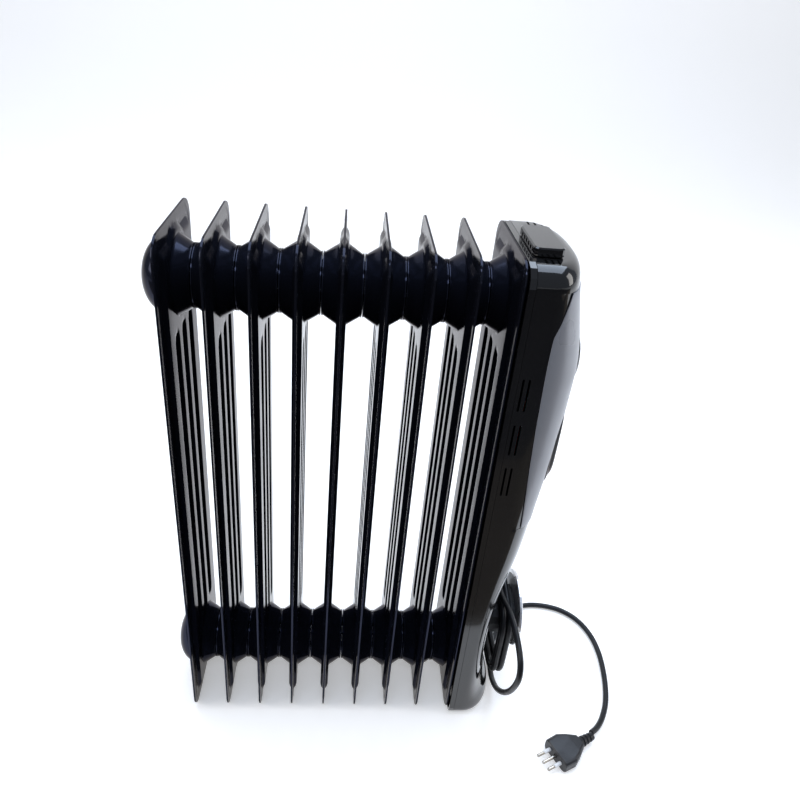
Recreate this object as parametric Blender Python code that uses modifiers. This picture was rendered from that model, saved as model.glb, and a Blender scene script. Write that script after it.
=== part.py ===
"""Oil filled radiator heater: oil fins on two headers, a control housing on the +X end and a cord reel.

X runs along the row of fins to the housing, Y across the fins, Z up, with the floor at Z = 0.
X is measured from the middle fin while building; the last step centres the body on the origin.
"""

import math

import bmesh
import bpy
import numpy as np
from mathutils import Matrix, Vector

# General fits
GAP = 0.0003

# Fins
FIN_COUNT = 9
FIN_PITCH = 0.038
FIN_WIDTH = 0.144
FIN_HEIGHT = 0.581
FIN_CORNER = 0.020
SEAM_SHEET = 0.002
FIN_DEPTH = 0.009
PAD_MARGIN = 0.0172
PAD_CORNER = 0.017
PAD_SLOPE = 0.0033
GROOVE_PITCH = 0.028
GROOVE_WIDTH = 0.0094
GROOVE_TO_UPPER = 0.049
GROOVE_TO_LOWER = 0.043

# Headers
HEADER_MARGIN = 0.0547
HEADER_RADIUS = 0.0365
VALLEY_RADIUS = 0.0287
HEADER_BORE = 0.022
STUB_RADIUS = 0.026
STUB_LENGTH = 0.0163
CAP_RADIUS = 0.036
CAP_DEPTH = 0.023
CAP_WALL = 0.0016

# Heating element in the lower header
ELEMENT_RADIUS = 0.004
ELEMENT_SPREAD = 0.008
ELEMENT_FROM_FIRST_FIN = 0.030
ELEMENT_PAST_LAST_FIN = 0.030
FLANGE_RADIUS = 0.030
FLANGE_THICKNESS = 0.004
FILL_HOLE = 0.008

# Control housing: its X values are given for a last fin at LAST_FIN_DATUM and its upper heights
# for fins HEIGHT_DATUM tall; both follow the fins
LAST_FIN_DATUM = 0.152
HEIGHT_DATUM = 0.581
RISE = FIN_HEIGHT - HEIGHT_DATUM
REAR_X = 0.1545
REAR_DEPTH = 0.0057
REAR_PLATE = 0.0027
REAR_RIM = 0.003
SHELL_HALF_WIDTH = 0.0755
SHELL_TOP = 0.580 + RISE
TOP_FILLET = 0.018
BOTTOM_FILLET = 0.012
BASE_THICKNESS = 0.0045
WALL = 0.0025
ROUNDNESS = 2.35
CORNER_START_LOW = 0.168
CORNER_START_HIGH = 0.176
PANEL_LOW = 0.3005 + RISE
PANEL_HIGH = 0.5585 + RISE
PANEL_SINK = 0.0022
FRONT_PROFILE = (
    (0.000, 0.2100),
    (0.010, 0.2102),
    (0.018, 0.2080),
    (0.025, 0.2042),
    (0.034, 0.2003),
    (0.050, 0.1968),
    (0.089, 0.1942),
    (0.130, 0.1930),
    (0.183, 0.1976),
    (0.222 + RISE, 0.2050),
    (0.241 + RISE, 0.2094),
    (0.263 + RISE, 0.2134),
    (0.284 + RISE, 0.2158),
    (0.325 + RISE, 0.2197),
    (0.364 + RISE, 0.2239),
    (0.401 + RISE, 0.2264),
    (0.435 + RISE, 0.2278),
    (0.468 + RISE, 0.2284),
    (0.484 + RISE, 0.2274),
    (0.499 + RISE, 0.2252),
    (0.524 + RISE, 0.2195),
    (0.547 + RISE, 0.2140),
    (0.561 + RISE, 0.2112),
    (0.570 + RISE, 0.2095),
    (0.5755 + RISE, 0.2072),
    (0.5790 + RISE, 0.2030),
    (0.5800 + RISE, 0.1985),
)
PANEL_EDGE = (
    (0.299 + RISE, 0.1945),
    (0.341 + RISE, 0.1912),
    (0.384 + RISE, 0.1880),
    (0.439 + RISE, 0.1852),
    (0.501 + RISE, 0.1836),
    (0.517 + RISE, 0.1840),
    (0.530 + RISE, 0.1880),
    (0.544 + RISE, 0.1915),
    (0.559 + RISE, 0.1950),
)

# Vents
SIDE_SLOT_X = (0.1650, 0.1707)
SIDE_SLOT_LOW = (0.345 + RISE, 0.394 + RISE, 0.443 + RISE)
SIDE_SLOT_HEIGHT = 0.034
SLOT_WIDTH = 0.002
FAR_TOP_SLOTS = (0.177, 0.1835, 0.190)
FAR_SLOT_SPAN = (0.046, 0.060)
NEAR_TOP_SLOTS = (0.170, 0.1755, 0.181)
NEAR_SLOT_SPAN = (-0.060, -0.050)
VENT_CAP_X = (0.1608, 0.1885)
VENT_CAP_Y = (-0.047, 0.020)
VENT_CAP_HEIGHT = 0.0085
VENT_CAP_CORNER = 0.006
LOUVRE_WIDTH = 0.005
LOUVRE_PITCH = 0.0085

# Controls
CONSOLE_Z = 0.3865 + RISE
CONSOLE_HALF_WIDTH = 0.056
CONSOLE_HALF_HEIGHT = 0.0505
CONSOLE_SQUARENESS = 3.6
CONSOLE_EDGE = 0.0048
KNOB_RADIUS = 0.030
KNOB_CLEAR = 0.0006
KNOB_ABOVE_CONSOLE = 0.0020
KNOB_Z = CONSOLE_Z + CONSOLE_HALF_HEIGHT + KNOB_ABOVE_CONSOLE + KNOB_RADIUS
KNOB_BACK = 0.2195
KNOB_FRONT = 0.2325
SHAFT_RADIUS = 0.003
SHAFT_BACK = 0.206
CONSOLE_FRONT = 0.2286
CONSOLE_CURVE = 0.150
CONSOLE_BACK = 0.208
ROCKER_Y = 0.018
ROCKER_Z = CONSOLE_Z - 0.0065
ROCKER_PIVOT_X = 0.2254
ROCKER_WIDTH = 0.014
ROCKER_REACH = 0.0104
ROCKER_OPENING = 0.0223
PIVOT_RADIUS = 0.0012
LENS_RADIUS = 0.0035
LENS_Z = CONSOLE_Z + 0.0295

# Tip-over switch
TILT_X = 0.1765
TILT_Y = 0.045
TILT_PIVOT_Z = 0.230
TILT_ARM = 0.018
TILT_BOB_RADIUS = 0.004

# Cord reel
REEL_Z = 0.111
DISC_RADIUS = 0.0415
RING_RADIUS = 0.0465
DISC_BACK = 0.2285
DISC_THICKNESS = 0.0028
HUB_HALF_WIDTH = 0.030
HUB_LOW = 0.086
HUB_HIGH = 0.1300
HUB_CORNER = 0.018
HUB_BACK = 0.187
HANK_X = (0.2060, 0.2210)
HANK_HALF_WIDTH = 0.050
HANK_LOW = 0.026
HANK_HIGH = 0.1455
HANK_CORNER = 0.036
HANK_BUILD = 0.015

# Cord and plug
CORD_RADIUS = 0.0035
CORD_STEP = 0.013
EXIT_X = 0.180
EXIT_Z = 0.045
BOOT_LENGTH = 0.025
CORD_START_Y = SHELL_HALF_WIDTH + BOOT_LENGTH + 0.0038
LEAD_ROUTE = (
    (EXIT_X, CORD_START_Y, EXIT_Z),
    (0.1805, CORD_START_Y + 0.0107, 0.0455),
    (0.188, 0.129, 0.051),
    (0.201, 0.133, 0.063),
    (0.211, 0.127, 0.082),
    (0.2135, 0.111, 0.104),
    (0.213, 0.088, 0.126),
    (0.2125, 0.062, 0.142),
    (0.2125, 0.044, 0.1488),
    (0.2125, 0.030, 0.1494),
)
TAIL_ROUTE = (
    (0.2130, 0.012, 0.1494),
    (0.2130, -0.014, 0.1494),
    (0.2135, -0.041, 0.1500),
    (0.2140, -0.071, 0.1500),
    (0.2145, -0.095, 0.1465),
    (0.2150, -0.110, 0.1370),
    (0.2150, -0.1145, 0.1200),
    (0.2150, -0.106, 0.0930),
    (0.2150, -0.091, 0.0655),
    (0.2150, -0.071, 0.0400),
    (0.2155, -0.048, 0.0190),
    (0.2165, -0.022, 0.0060),
    (0.2190, 0.004, 0.0037),
    (0.2260, 0.029, 0.0037),
    (0.2370, 0.054, 0.0037),
    (0.2510, 0.077, 0.0037),
    (0.2670, 0.093, 0.0037),
    (0.2850, 0.1010, 0.0037),
    (0.3040, 0.1025, 0.0037),
    (0.3230, 0.0995, 0.0037),
    (0.3400, 0.0925, 0.0037),
    (0.3550, 0.0800, 0.0037),
    (0.3656, 0.0630, 0.0037),
    (0.3720, 0.0420, 0.0037),
    (0.3738, 0.0180, 0.0037),
    (0.3720, -0.0060, 0.0037),
    (0.3674, -0.0325, 0.0037),
    (0.3600, -0.0580, 0.0037),
    (0.3495, -0.0790, 0.0040),
    (0.3380, -0.0945, 0.0060),
    (0.3269, -0.1040, 0.0080),
)
PLUG_FACE = (0.2741, -0.1346)
PLUG_AXIS = (0.895, 0.446)
PLUG_Z = 0.0088
PLUG_HALF_HEIGHT = 0.0085
PLUG_BODY_LENGTH = 0.037
PLUG_OUTLINE = ((0.0, 0.0190), (0.016, 0.0195), (0.026, 0.0150), (0.037, 0.0085))
PLUG_BOOT_LENGTH = 0.021
PIN_RADIUS = 0.002
PIN_LENGTH = 0.019
PIN_SPACING = 0.0095
PIN_ROOT = 0.006
SLEEVE_RADIUS = 0.0023
SLEEVE_LENGTH = 0.010

# Screws in the base
SCREW_HEAD = 0.0035
SCREW_SHANK = 0.0015
SCREW_PLACES = ((0.168, -0.045), (0.168, 0.045), (0.196, -0.025), (0.196, 0.025))

ARC_STEPS = 3
ROUND_STEPS = 24
BOSS_STEPS = 20
BORE_STEPS = 12
SMOOTH_ANGLE = math.radians(35)

FLOOR_TO_UPPER = FIN_HEIGHT - HEADER_MARGIN
FIRST_FIN = -FIN_PITCH * (FIN_COUNT - 1) / 2
LAST_FIN = -FIRST_FIN
ELEMENT_START = FIRST_FIN + ELEMENT_FROM_FIRST_FIN
ELEMENT_END = LAST_FIN + ELEMENT_PAST_LAST_FIN
SHELL_BACK = REAR_X + REAR_DEPTH + GAP
PANEL_CLEAR = 0.0005

# Axis frames: local x, y, z of a flat outline or a turned profile, for each extrusion axis
AXES = {
    "X": Matrix(((0, 0, 1), (1, 0, 0), (0, 1, 0))).to_4x4(),
    "Y": Matrix(((0, 1, 0), (0, 0, 1), (1, 0, 0))).to_4x4(),
    "Z": Matrix.Identity(4),
}

for old in list(bpy.data.objects):
    bpy.data.objects.remove(old)

heater = bpy.data.collections.new("oil_radiator_heater")
cutters = bpy.data.collections.new("cutters")
bpy.context.scene.collection.children.link(heater)
bpy.context.scene.collection.children.link(cutters)


def material(name, color, metallic, roughness):
    made = bpy.data.materials.new(name)
    made.use_nodes = True
    shader = made.node_tree.nodes["Principled BSDF"]
    shader.inputs["Base Color"].default_value = (*color, 1)
    shader.inputs["Metallic"].default_value = metallic
    shader.inputs["Roughness"].default_value = roughness
    return made


ENAMEL = ("black_enamel", (0.010, 0.010, 0.011), 0.0, 0.12)
GLOSS = ("black_gloss_plastic", (0.012, 0.012, 0.013), 0.0, 0.10)
PANEL = ("silver_grey_plastic", (0.240, 0.250, 0.290), 0.3, 0.22)
MATT = ("black_matt_plastic", (0.020, 0.020, 0.021), 0.0, 0.45)
SILVER = ("silver_trim", (0.80, 0.80, 0.80), 1.0, 0.20)
GREY = ("grey_plastic", (0.30, 0.30, 0.31), 0.0, 0.40)
STEEL = ("zinc_steel", (0.60, 0.61, 0.62), 1.0, 0.35)
CERAMIC = ("white_ceramic", (0.85, 0.84, 0.80), 0.0, 0.50)
WHITE = ("white_nylon", (0.88, 0.88, 0.86), 0.0, 0.40)
AMBER = ("amber_lens", (0.80, 0.25, 0.03), 0.0, 0.10)
CORD = ("black_cord_sheath", (0.015, 0.015, 0.016), 0.0, 0.50)
COPPER = ("lead_insulation", (0.45, 0.08, 0.05), 0.0, 0.40)


def own_material(part, look):
    name, color, metallic, roughness = look
    part.data.materials.clear()
    part.data.materials.append(material(f"{part.name}_{name}", color, metallic, roughness))


def linked(name, data, collection):
    made = bpy.data.objects.new(name, data)
    collection.objects.link(made)
    return made


def tidy_mesh(mesh, matrix):
    """Welds loose caps, moves the mesh into place and points its faces out."""
    shape = bmesh.new()
    shape.from_mesh(mesh)
    bmesh.ops.remove_doubles(shape, verts=shape.verts, dist=1e-6)
    bmesh.ops.transform(shape, matrix=matrix, verts=shape.verts)
    bmesh.ops.recalc_face_normals(shape, faces=shape.faces)
    shape.to_mesh(mesh)
    shape.free()
    mesh.shade_smooth()
    mesh.set_sharp_from_angle(angle=SMOOTH_ANGLE)


def settled(name, source, matrix, collection=heater):
    """The evaluated shape of a source object as one plain mesh object; the source goes."""
    graph = bpy.context.evaluated_depsgraph_get()
    mesh = bpy.data.meshes.new_from_object(source.evaluated_get(graph))
    bpy.data.objects.remove(source)
    tidy_mesh(mesh, matrix)
    mesh.name = name
    return linked(name, mesh, collection)


def placed(axis, centre):
    return Matrix.Translation(Vector(centre)) @ AXES[axis]


def prism(name, loops, axis, low, high, rim=0.0, collection=heater):
    """Flat outlines, the inner ones holes, extruded from low to high along an axis."""
    curve = bpy.data.curves.new(name, "CURVE")
    curve.dimensions = "2D"
    curve.fill_mode = "BOTH"
    curve.extrude = (high - low) / 2 - rim
    curve.bevel_depth = rim
    curve.bevel_resolution = 0
    curve.offset = -rim
    for loop in loops:
        spline = curve.splines.new("POLY")
        spline.points.add(len(loop) - 1)
        for point, (across, up) in zip(spline.points, loop):
            point.co = (across, up, 0, 1)
        spline.use_cyclic_u = True
    source = linked(name, curve, collection)
    middle = AXES[axis] @ Vector((0, 0, (low + high) / 2))
    return settled(name, source, placed(axis, middle), collection)


def turned(name, profile, axis, centre, closed=False, steps=ROUND_STEPS, collection=heater):
    """A profile of (radius, along) points spun about an axis through centre."""
    mesh = bpy.data.meshes.new(name)
    count = len(profile)
    edges = [(i, i + 1) for i in range(count - 1)]
    if closed:
        edges.append((count - 1, 0))
    mesh.from_pydata([(radius, 0, along) for radius, along in profile], edges, [])
    source = linked(name, mesh, collection)
    spin = source.modifiers.new("spin", "SCREW")
    spin.steps = steps
    spin.render_steps = steps
    spin.use_merge_vertices = True
    spin.merge_threshold = 1e-5
    return settled(name, source, placed(axis, centre), collection)


def smooth_route(points, step):
    """Points about one step apart on a smooth curve through the route points."""
    ends = [2 * Vector(points[0]) - Vector(points[1]), 2 * Vector(points[-1]) - Vector(points[-2])]
    knots = [ends[0], *map(Vector, points), ends[1]]
    route = []
    for a, b, c, d in zip(knots, knots[1:], knots[2:], knots[3:]):
        pieces = max(1, round((c - b).length / step))
        for i in range(pieces):
            t = i / pieces
            route.append(
                0.5
                * (
                    2 * b
                    + (c - a) * t
                    + (2 * a - 5 * b + 4 * c - d) * t * t
                    + (3 * b - a - 3 * c + d) * t**3
                )
            )
    route.append(knots[-2])
    return route


def tube(name, route, radius, resolution=2):
    curve = bpy.data.curves.new(name, "CURVE")
    curve.dimensions = "3D"
    curve.bevel_depth = radius
    curve.bevel_resolution = resolution
    curve.use_fill_caps = True
    spline = curve.splines.new("POLY")
    spline.points.add(len(route) - 1)
    for point, place in zip(spline.points, route):
        point.co = (*place, 1)
    return settled(name, linked(name, curve, heater), Matrix.Identity(4))


def loft(name, sections, collection=heater):
    """A solid through closed sections of equal point counts, capped at both ends."""
    count = len(sections[0])
    points = [point for section in sections for point in section]
    faces = [tuple(range(count)), tuple(range(len(points) - count, len(points)))]
    for level in range(len(sections) - 1):
        low = level * count
        high = low + count
        for i in range(count):
            following = (i + 1) % count
            faces.append((low + i, low + following, high + following, high + i))
    mesh = bpy.data.meshes.new(name)
    mesh.from_pydata(points, [], faces)
    tidy_mesh(mesh, Matrix.Identity(4))
    return linked(name, mesh, collection)


def combine(target, tools, operation="DIFFERENCE", solver="EXACT"):
    for tool in tools:
        step = target.modifiers.new(tool.name, "BOOLEAN")
        step.operation = operation
        step.solver = solver
        step.object = tool
        tool.hide_render = True
        tool.display_type = "WIRE"
        if tool.name not in cutters.objects:
            heater.objects.unlink(tool)
            cutters.objects.link(tool)


def fixed_shape(part, helpers):
    """The part's evaluated shape as its own mesh, without the helpers that made it."""
    name = part.name
    part.name = f"{name}_source"
    made = settled(name, part, Matrix.Identity(4))
    for helper in helpers:
        bpy.data.objects.remove(helper)
    return made


def arc(centre, radius, start, end, steps):
    turns = np.radians(np.linspace(start, end, steps + 1))
    return [(centre[0] + radius * math.cos(t), centre[1] + radius * math.sin(t)) for t in turns]


def circle(radius, centre=(0, 0), steps=ROUND_STEPS):
    return arc(centre, radius, 0, 360 - 360 / steps, steps - 1)


def rounded(half_width, low, high, low_radius, high_radius=None, middle=0.0, steps=ARC_STEPS):
    """A rectangle with rounded corners, its lower and upper corner radii given apart."""
    high_radius = low_radius if high_radius is None else high_radius
    side = half_width - low_radius
    top_side = half_width - high_radius
    return [
        *arc((middle - side, low + low_radius), low_radius, 180, 270, steps),
        *arc((middle + side, low + low_radius), low_radius, 270, 360, steps),
        *arc((middle + top_side, high - high_radius), high_radius, 0, 90, steps),
        *arc((middle - top_side, high - high_radius), high_radius, 90, 180, steps),
    ]


def slot(half_width, low, high, middle=0.0, steps=3):
    return [
        *arc((middle, low + half_width), half_width, 180, 360, steps),
        *arc((middle, high - half_width), half_width, 0, 180, steps),
    ]


def box(name, x_span, y_span, z_span, collection=heater):
    corners = [
        (y_span[0], z_span[0]),
        (y_span[1], z_span[0]),
        (y_span[1], z_span[1]),
        (y_span[0], z_span[1]),
    ]
    return prism(name, [corners], "X", *x_span, collection=collection)


def boxes(name, spans):
    """Many separate boxes as one cutter."""
    made = [box(f"{name}_{i}", *span, collection=cutters) for i, span in enumerate(spans)]
    shape = bmesh.new()
    for piece in made:
        shape.from_mesh(piece.data)
        bpy.data.objects.remove(piece)
    mesh = bpy.data.meshes.new(name)
    shape.to_mesh(mesh)
    shape.free()
    return linked(name, mesh, cutters)


# ---- Fins -------------------------------------------------------------------------------


def header_profile(left, right):
    """Half outline of one header boss: cones meeting at the fin, or flat where a side is zero."""
    profile = [(0, -left)]
    if left > FIN_DEPTH:
        profile.append((VALLEY_RADIUS, -left))
    profile.append((HEADER_RADIUS, 0))
    if right > FIN_DEPTH:
        profile.append((VALLEY_RADIUS, right))
    profile.append((0, right))
    return profile


def fin(name, left, right, stub):
    """One fin at the origin; left and right are how far its header cones reach."""
    plate = prism(
        name, [rounded(FIN_WIDTH / 2, 0, FIN_HEIGHT, FIN_CORNER)], "X", -SEAM_SHEET / 2, SEAM_SHEET / 2
    )
    loops = [
        rounded(
            FIN_WIDTH / 2 - PAD_MARGIN, PAD_MARGIN, FIN_HEIGHT - PAD_MARGIN, PAD_CORNER, steps=2
        )
    ]
    for middle in (-GROOVE_PITCH, 0, GROOVE_PITCH):
        low = HEADER_MARGIN + GROOVE_TO_LOWER
        high = FLOOR_TO_UPPER - GROOVE_TO_UPPER
        loops.append(slot(GROOVE_WIDTH / 2, low, high, middle))
    helpers = [prism("pad", loops, "X", -FIN_DEPTH / 2, FIN_DEPTH / 2, rim=PAD_SLOPE)]
    bores = []
    for height in (HEADER_MARGIN, FLOOR_TO_UPPER):
        centre = (0, 0, height)
        helpers.append(turned("boss", header_profile(left, right), "X", centre, steps=BOSS_STEPS))
        if stub:
            tube_end = [(0, 0), (STUB_RADIUS, 0), (STUB_RADIUS, stub), (0, stub)]
            helpers.append(turned("stub", tube_end, "X", centre, steps=BOSS_STEPS))
        bore = [(0, -FIN_PITCH), (HEADER_BORE, -FIN_PITCH), (HEADER_BORE, FIN_PITCH), (0, FIN_PITCH)]
        bores.append(turned("bore", bore, "X", centre, steps=BORE_STEPS))
    combine(plate, helpers, "UNION", solver="MANIFOLD")
    combine(plate, bores, solver="MANIFOLD")
    return fixed_shape(plate, helpers + bores)


REACH = FIN_PITCH / 2 - GAP / 2
NO_CONE = SEAM_SHEET / 2
middle_fin = fin("radiator_fin_2", REACH, REACH, 0)
first_fin = fin("radiator_fin_1", NO_CONE, REACH, 0)
last_fin = fin("radiator_fin_9", REACH, NO_CONE, STUB_LENGTH)
fins = [first_fin, middle_fin]
for number in range(3, FIN_COUNT):
    fins.append(linked(f"radiator_fin_{number}", middle_fin.data, heater))
fins.append(last_fin)
for index, one in enumerate(fins):
    one.location.x = FIRST_FIN + index * FIN_PITCH
for one in (first_fin, middle_fin, last_fin):
    own_material(one, ENAMEL)

# ---- Header ends ------------------------------------------------------------------------

CAP_PROFILE = ((0.0, 1.0), (0.34, 0.96), (0.66, 0.83), (0.88, 0.60), (0.985, 0.30), (1.0, 0.0))


def domed_cap(name, height):
    outer = [(CAP_RADIUS * r, -CAP_DEPTH * x) for r, x in CAP_PROFILE]
    inner_radius = CAP_RADIUS - CAP_WALL
    inner_depth = CAP_DEPTH - CAP_WALL
    inner = [(inner_radius * r, -inner_depth * x) for r, x in reversed(CAP_PROFILE)]
    face = FIRST_FIN - FIN_DEPTH / 2 - GAP
    cap = turned(name, outer + inner, "X", (face, 0, height))
    own_material(cap, ENAMEL)


domed_cap("upper_header_cap", FLOOR_TO_UPPER)
domed_cap("lower_header_cap", HEADER_MARGIN)

STUB_END = LAST_FIN + STUB_LENGTH
PLATE_BACK = STUB_END + GAP
closing = turned(
    "upper_closing_plate",
    [
        (FILL_HOLE, 0),
        (STUB_RADIUS, 0),
        (STUB_RADIUS, FLANGE_THICKNESS),
        (FILL_HOLE, FLANGE_THICKNESS),
    ],
    "X",
    (PLATE_BACK, 0, FLOOR_TO_UPPER),
    closed=True,
)
own_material(closing, STEEL)
PLUG_SHANK = FILL_HOLE - GAP
PLUG_HEAD = 0.011
fill_plug = turned(
    "oil_fill_plug",
    [
        (0, 0),
        (PLUG_SHANK, 0),
        (PLUG_SHANK, FLANGE_THICKNESS + GAP),
        (PLUG_HEAD, FLANGE_THICKNESS + GAP),
        (PLUG_HEAD, FLANGE_THICKNESS + 0.005),
        (0, FLANGE_THICKNESS + 0.005),
    ],
    "X",
    (PLATE_BACK, 0, FLOOR_TO_UPPER),
)
own_material(fill_plug, STEEL)

flange = turned(
    "element_flange",
    [(0, 0), (FLANGE_RADIUS, 0), (FLANGE_RADIUS, FLANGE_THICKNESS), (0, FLANGE_THICKNESS)],
    "X",
    (PLATE_BACK, 0, HEADER_MARGIN),
)
LEG_HOLE = ELEMENT_RADIUS + GAP
leg_holes = []
for side in (-1, 1):
    leg_profile = [(0, -0.01), (LEG_HOLE, -0.01), (LEG_HOLE, 0.02), (0, 0.02)]
    leg_centre = (PLATE_BACK, 0, HEADER_MARGIN + side * ELEMENT_SPREAD)
    leg_holes.append(turned(f"leg_hole_{side}", leg_profile, "X", leg_centre, steps=16))
combine(flange, leg_holes, solver="MANIFOLD")
own_material(flange, STEEL)

bend = [
    (ELEMENT_START - ELEMENT_SPREAD * math.sin(t), 0, HEADER_MARGIN + ELEMENT_SPREAD * math.cos(t))
    for t in np.linspace(0, math.pi, 9)
]
hairpin = [
    (ELEMENT_END, 0, HEADER_MARGIN + ELEMENT_SPREAD),
    *bend,
    (ELEMENT_END, 0, HEADER_MARGIN - ELEMENT_SPREAD),
]
own_material(tube("heating_element", hairpin, ELEMENT_RADIUS), STEEL)

TAB_LENGTH = 0.008
TAB_HALF_WIDTH = 0.003
TAB_HALF_THICKNESS = 0.0005
for number, side in ((1, 1), (2, -1)):
    height = HEADER_MARGIN + side * ELEMENT_SPREAD
    tab = box(
        f"element_terminal_{number}",
        (ELEMENT_END + GAP, ELEMENT_END + GAP + TAB_LENGTH),
        (-TAB_HALF_WIDTH, TAB_HALF_WIDTH),
        (height - TAB_HALF_THICKNESS, height + TAB_HALF_THICKNESS),
    )
    own_material(tab, STEEL)

CUTOUT_RADIUS = 0.0065
CUTOUT_LENGTH = 0.007
cutout = turned(
    "thermal_cutout",
    [
        (0, 0),
        (CUTOUT_RADIUS, 0),
        (CUTOUT_RADIUS, CUTOUT_LENGTH),
        (CUTOUT_RADIUS / 2, CUTOUT_LENGTH),
        (CUTOUT_RADIUS / 2, CUTOUT_LENGTH + 0.002),
        (0, CUTOUT_LENGTH + 0.002),
    ],
    "X",
    (PLATE_BACK + FLANGE_THICKNESS + GAP, 0.017, HEADER_MARGIN + 0.012),
    steps=20,
)
own_material(cutout, CERAMIC)

RADIATOR_PARTS = set(bpy.data.objects)

# ---- Housing ----------------------------------------------------------------------------

rear = prism(
    "rear_frame",
    [
        rounded(SHELL_HALF_WIDTH, 0, SHELL_TOP, BOTTOM_FILLET, TOP_FILLET),
        circle(STUB_RADIUS + 0.002, (0, HEADER_MARGIN)),
        circle(STUB_RADIUS + 0.002, (0, FLOOR_TO_UPPER)),
    ],
    "X",
    REAR_X + REAR_DEPTH - REAR_PLATE,
    REAR_X + REAR_DEPTH,
)
rim = prism(
    "rear_rim",
    [
        rounded(SHELL_HALF_WIDTH, 0, SHELL_TOP, BOTTOM_FILLET, TOP_FILLET),
        rounded(
            SHELL_HALF_WIDTH - REAR_RIM,
            REAR_RIM,
            SHELL_TOP - REAR_RIM,
            BOTTOM_FILLET - REAR_RIM,
            TOP_FILLET - REAR_RIM,
        ),
    ],
    "X",
    REAR_X,
    REAR_X + REAR_DEPTH - REAR_PLATE / 2,
)
combine(rear, [rim], "UNION")
rear = fixed_shape(rear, [rim])
own_material(rear, GLOSS)

FRONT_HEIGHTS = [z for z, _ in FRONT_PROFILE]
FRONT_REACH = [x for _, x in FRONT_PROFILE]
FRONT_POINTS = 20


def half_width(z):
    """Half the housing's width at a height, with its rounded top and bottom edges."""
    if z < BOTTOM_FILLET:
        drop = BOTTOM_FILLET - z
        return SHELL_HALF_WIDTH - BOTTOM_FILLET + math.sqrt(BOTTOM_FILLET**2 - drop**2)
    rise = z - (SHELL_TOP - TOP_FILLET)
    if rise > 0:
        return SHELL_HALF_WIDTH - TOP_FILLET + math.sqrt(max(TOP_FILLET**2 - rise**2, 0))
    return SHELL_HALF_WIDTH


def plan_arc(z, inset, sink, start=0.0):
    """The rounded front of the housing at a height, from its -Y side to its +Y side."""
    width = half_width(z) - inset
    reach = float(np.interp(z, FRONT_HEIGHTS, FRONT_REACH)) - inset - sink
    corner = float(np.interp(z, (0, PANEL_LOW), (CORNER_START_LOW, CORNER_START_HIGH)))
    depth = reach - corner
    limit = math.acos((max(start - corner, 0) / depth) ** (ROUNDNESS / 2))
    points = []
    for turn in np.clip(np.linspace(-math.pi / 2, math.pi / 2, FRONT_POINTS), -limit, limit):
        across = width * math.copysign(abs(math.sin(turn)) ** (2 / ROUNDNESS), turn)
        along = depth * max(math.cos(turn), 0) ** (2 / ROUNDNESS)
        points.append((corner + along, across, z))
    return points


def housing_section(z, inset, sink, back):
    front = plan_arc(z, inset, sink)
    width = half_width(z) - inset
    return [(back, -width, z), *front, (back, width, z)]


SHELL_LOW = BASE_THICKNESS + GAP
LOW_LEVELS = [SHELL_LOW, 0.008]
LOW_LEVELS += [z for z in FRONT_HEIGHTS if BOTTOM_FILLET <= z < PANEL_LOW]
PANEL_LEVELS = [z for z in FRONT_HEIGHTS if PANEL_LOW < z < PANEL_HIGH]
TOP_LEVELS = [z for z in FRONT_HEIGHTS if z > PANEL_HIGH]


def shell_sections():
    """Sections of the housing; inside the panel's span the front is sunk for the panel."""
    levels = [(z, 0.0) for z in LOW_LEVELS]
    levels += [(PANEL_LOW - GAP, 0.0), (PANEL_LOW - GAP / 2, PANEL_SINK)]
    levels += [(z, PANEL_SINK) for z in PANEL_LEVELS]
    levels += [(PANEL_HIGH + GAP / 2, PANEL_SINK), (PANEL_HIGH + GAP, 0.0)]
    levels += [(z, 0.0) for z in TOP_LEVELS]
    return [housing_section(z, 0, sink, SHELL_BACK) for z, sink in levels]


shell = loft("housing_shell", shell_sections())


def cavity_sections():
    """The inside of the shell, running out through its open back and bottom."""
    heights = [-0.01, 0.02, 0.050, 0.130, 0.183]
    heights += [z + RISE for z in (0.222, 0.263, 0.325, 0.401, 0.468, 0.499, 0.547, 0.561, 0.570)]
    heights.append(SHELL_TOP - WALL)
    sections = []
    for z in heights:
        level = min(max(z, BOTTOM_FILLET), SHELL_TOP - WALL)
        ring = housing_section(level, WALL, PANEL_SINK, SHELL_BACK - 0.01)
        sections.append([(x, y, z) for x, y, _ in ring])
    return sections


cavity = loft("shell_cavity", cavity_sections(), cutters)
SLOT_INNER = SHELL_HALF_WIDTH - 0.006
SLOT_OUTER = SHELL_HALF_WIDTH + 0.002
slots = []
for x in SIDE_SLOT_X:
    for low in SIDE_SLOT_LOW:
        for side in (-1, 1):
            across = sorted((side * SLOT_INNER, side * SLOT_OUTER))
            along = (x - SLOT_WIDTH / 2, x + SLOT_WIDTH / 2)
            slots.append((along, tuple(across), (low, low + SIDE_SLOT_HEIGHT)))
TOP_CUT = (SHELL_TOP - 0.014, SHELL_TOP + 0.002)
for places, span in ((FAR_TOP_SLOTS, FAR_SLOT_SPAN), (NEAR_TOP_SLOTS, NEAR_SLOT_SPAN)):
    for x in places:
        slots.append(((x - SLOT_WIDTH / 2, x + SLOT_WIDTH / 2), span, TOP_CUT))
vents = boxes("vent_slots", slots)


def squared_oval(half_across, half_up, middle, steps=36):
    """An oval with full corners, as a loop of (across, up) points."""
    power = 2 / CONSOLE_SQUARENESS
    loop = []
    for turn in np.linspace(0, 2 * math.pi, steps, endpoint=False):
        across = math.copysign(abs(math.cos(turn)) ** power, math.cos(turn))
        up = math.copysign(abs(math.sin(turn)) ** power, math.sin(turn))
        loop.append((half_across * across, middle + half_up * up))
    return loop


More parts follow.
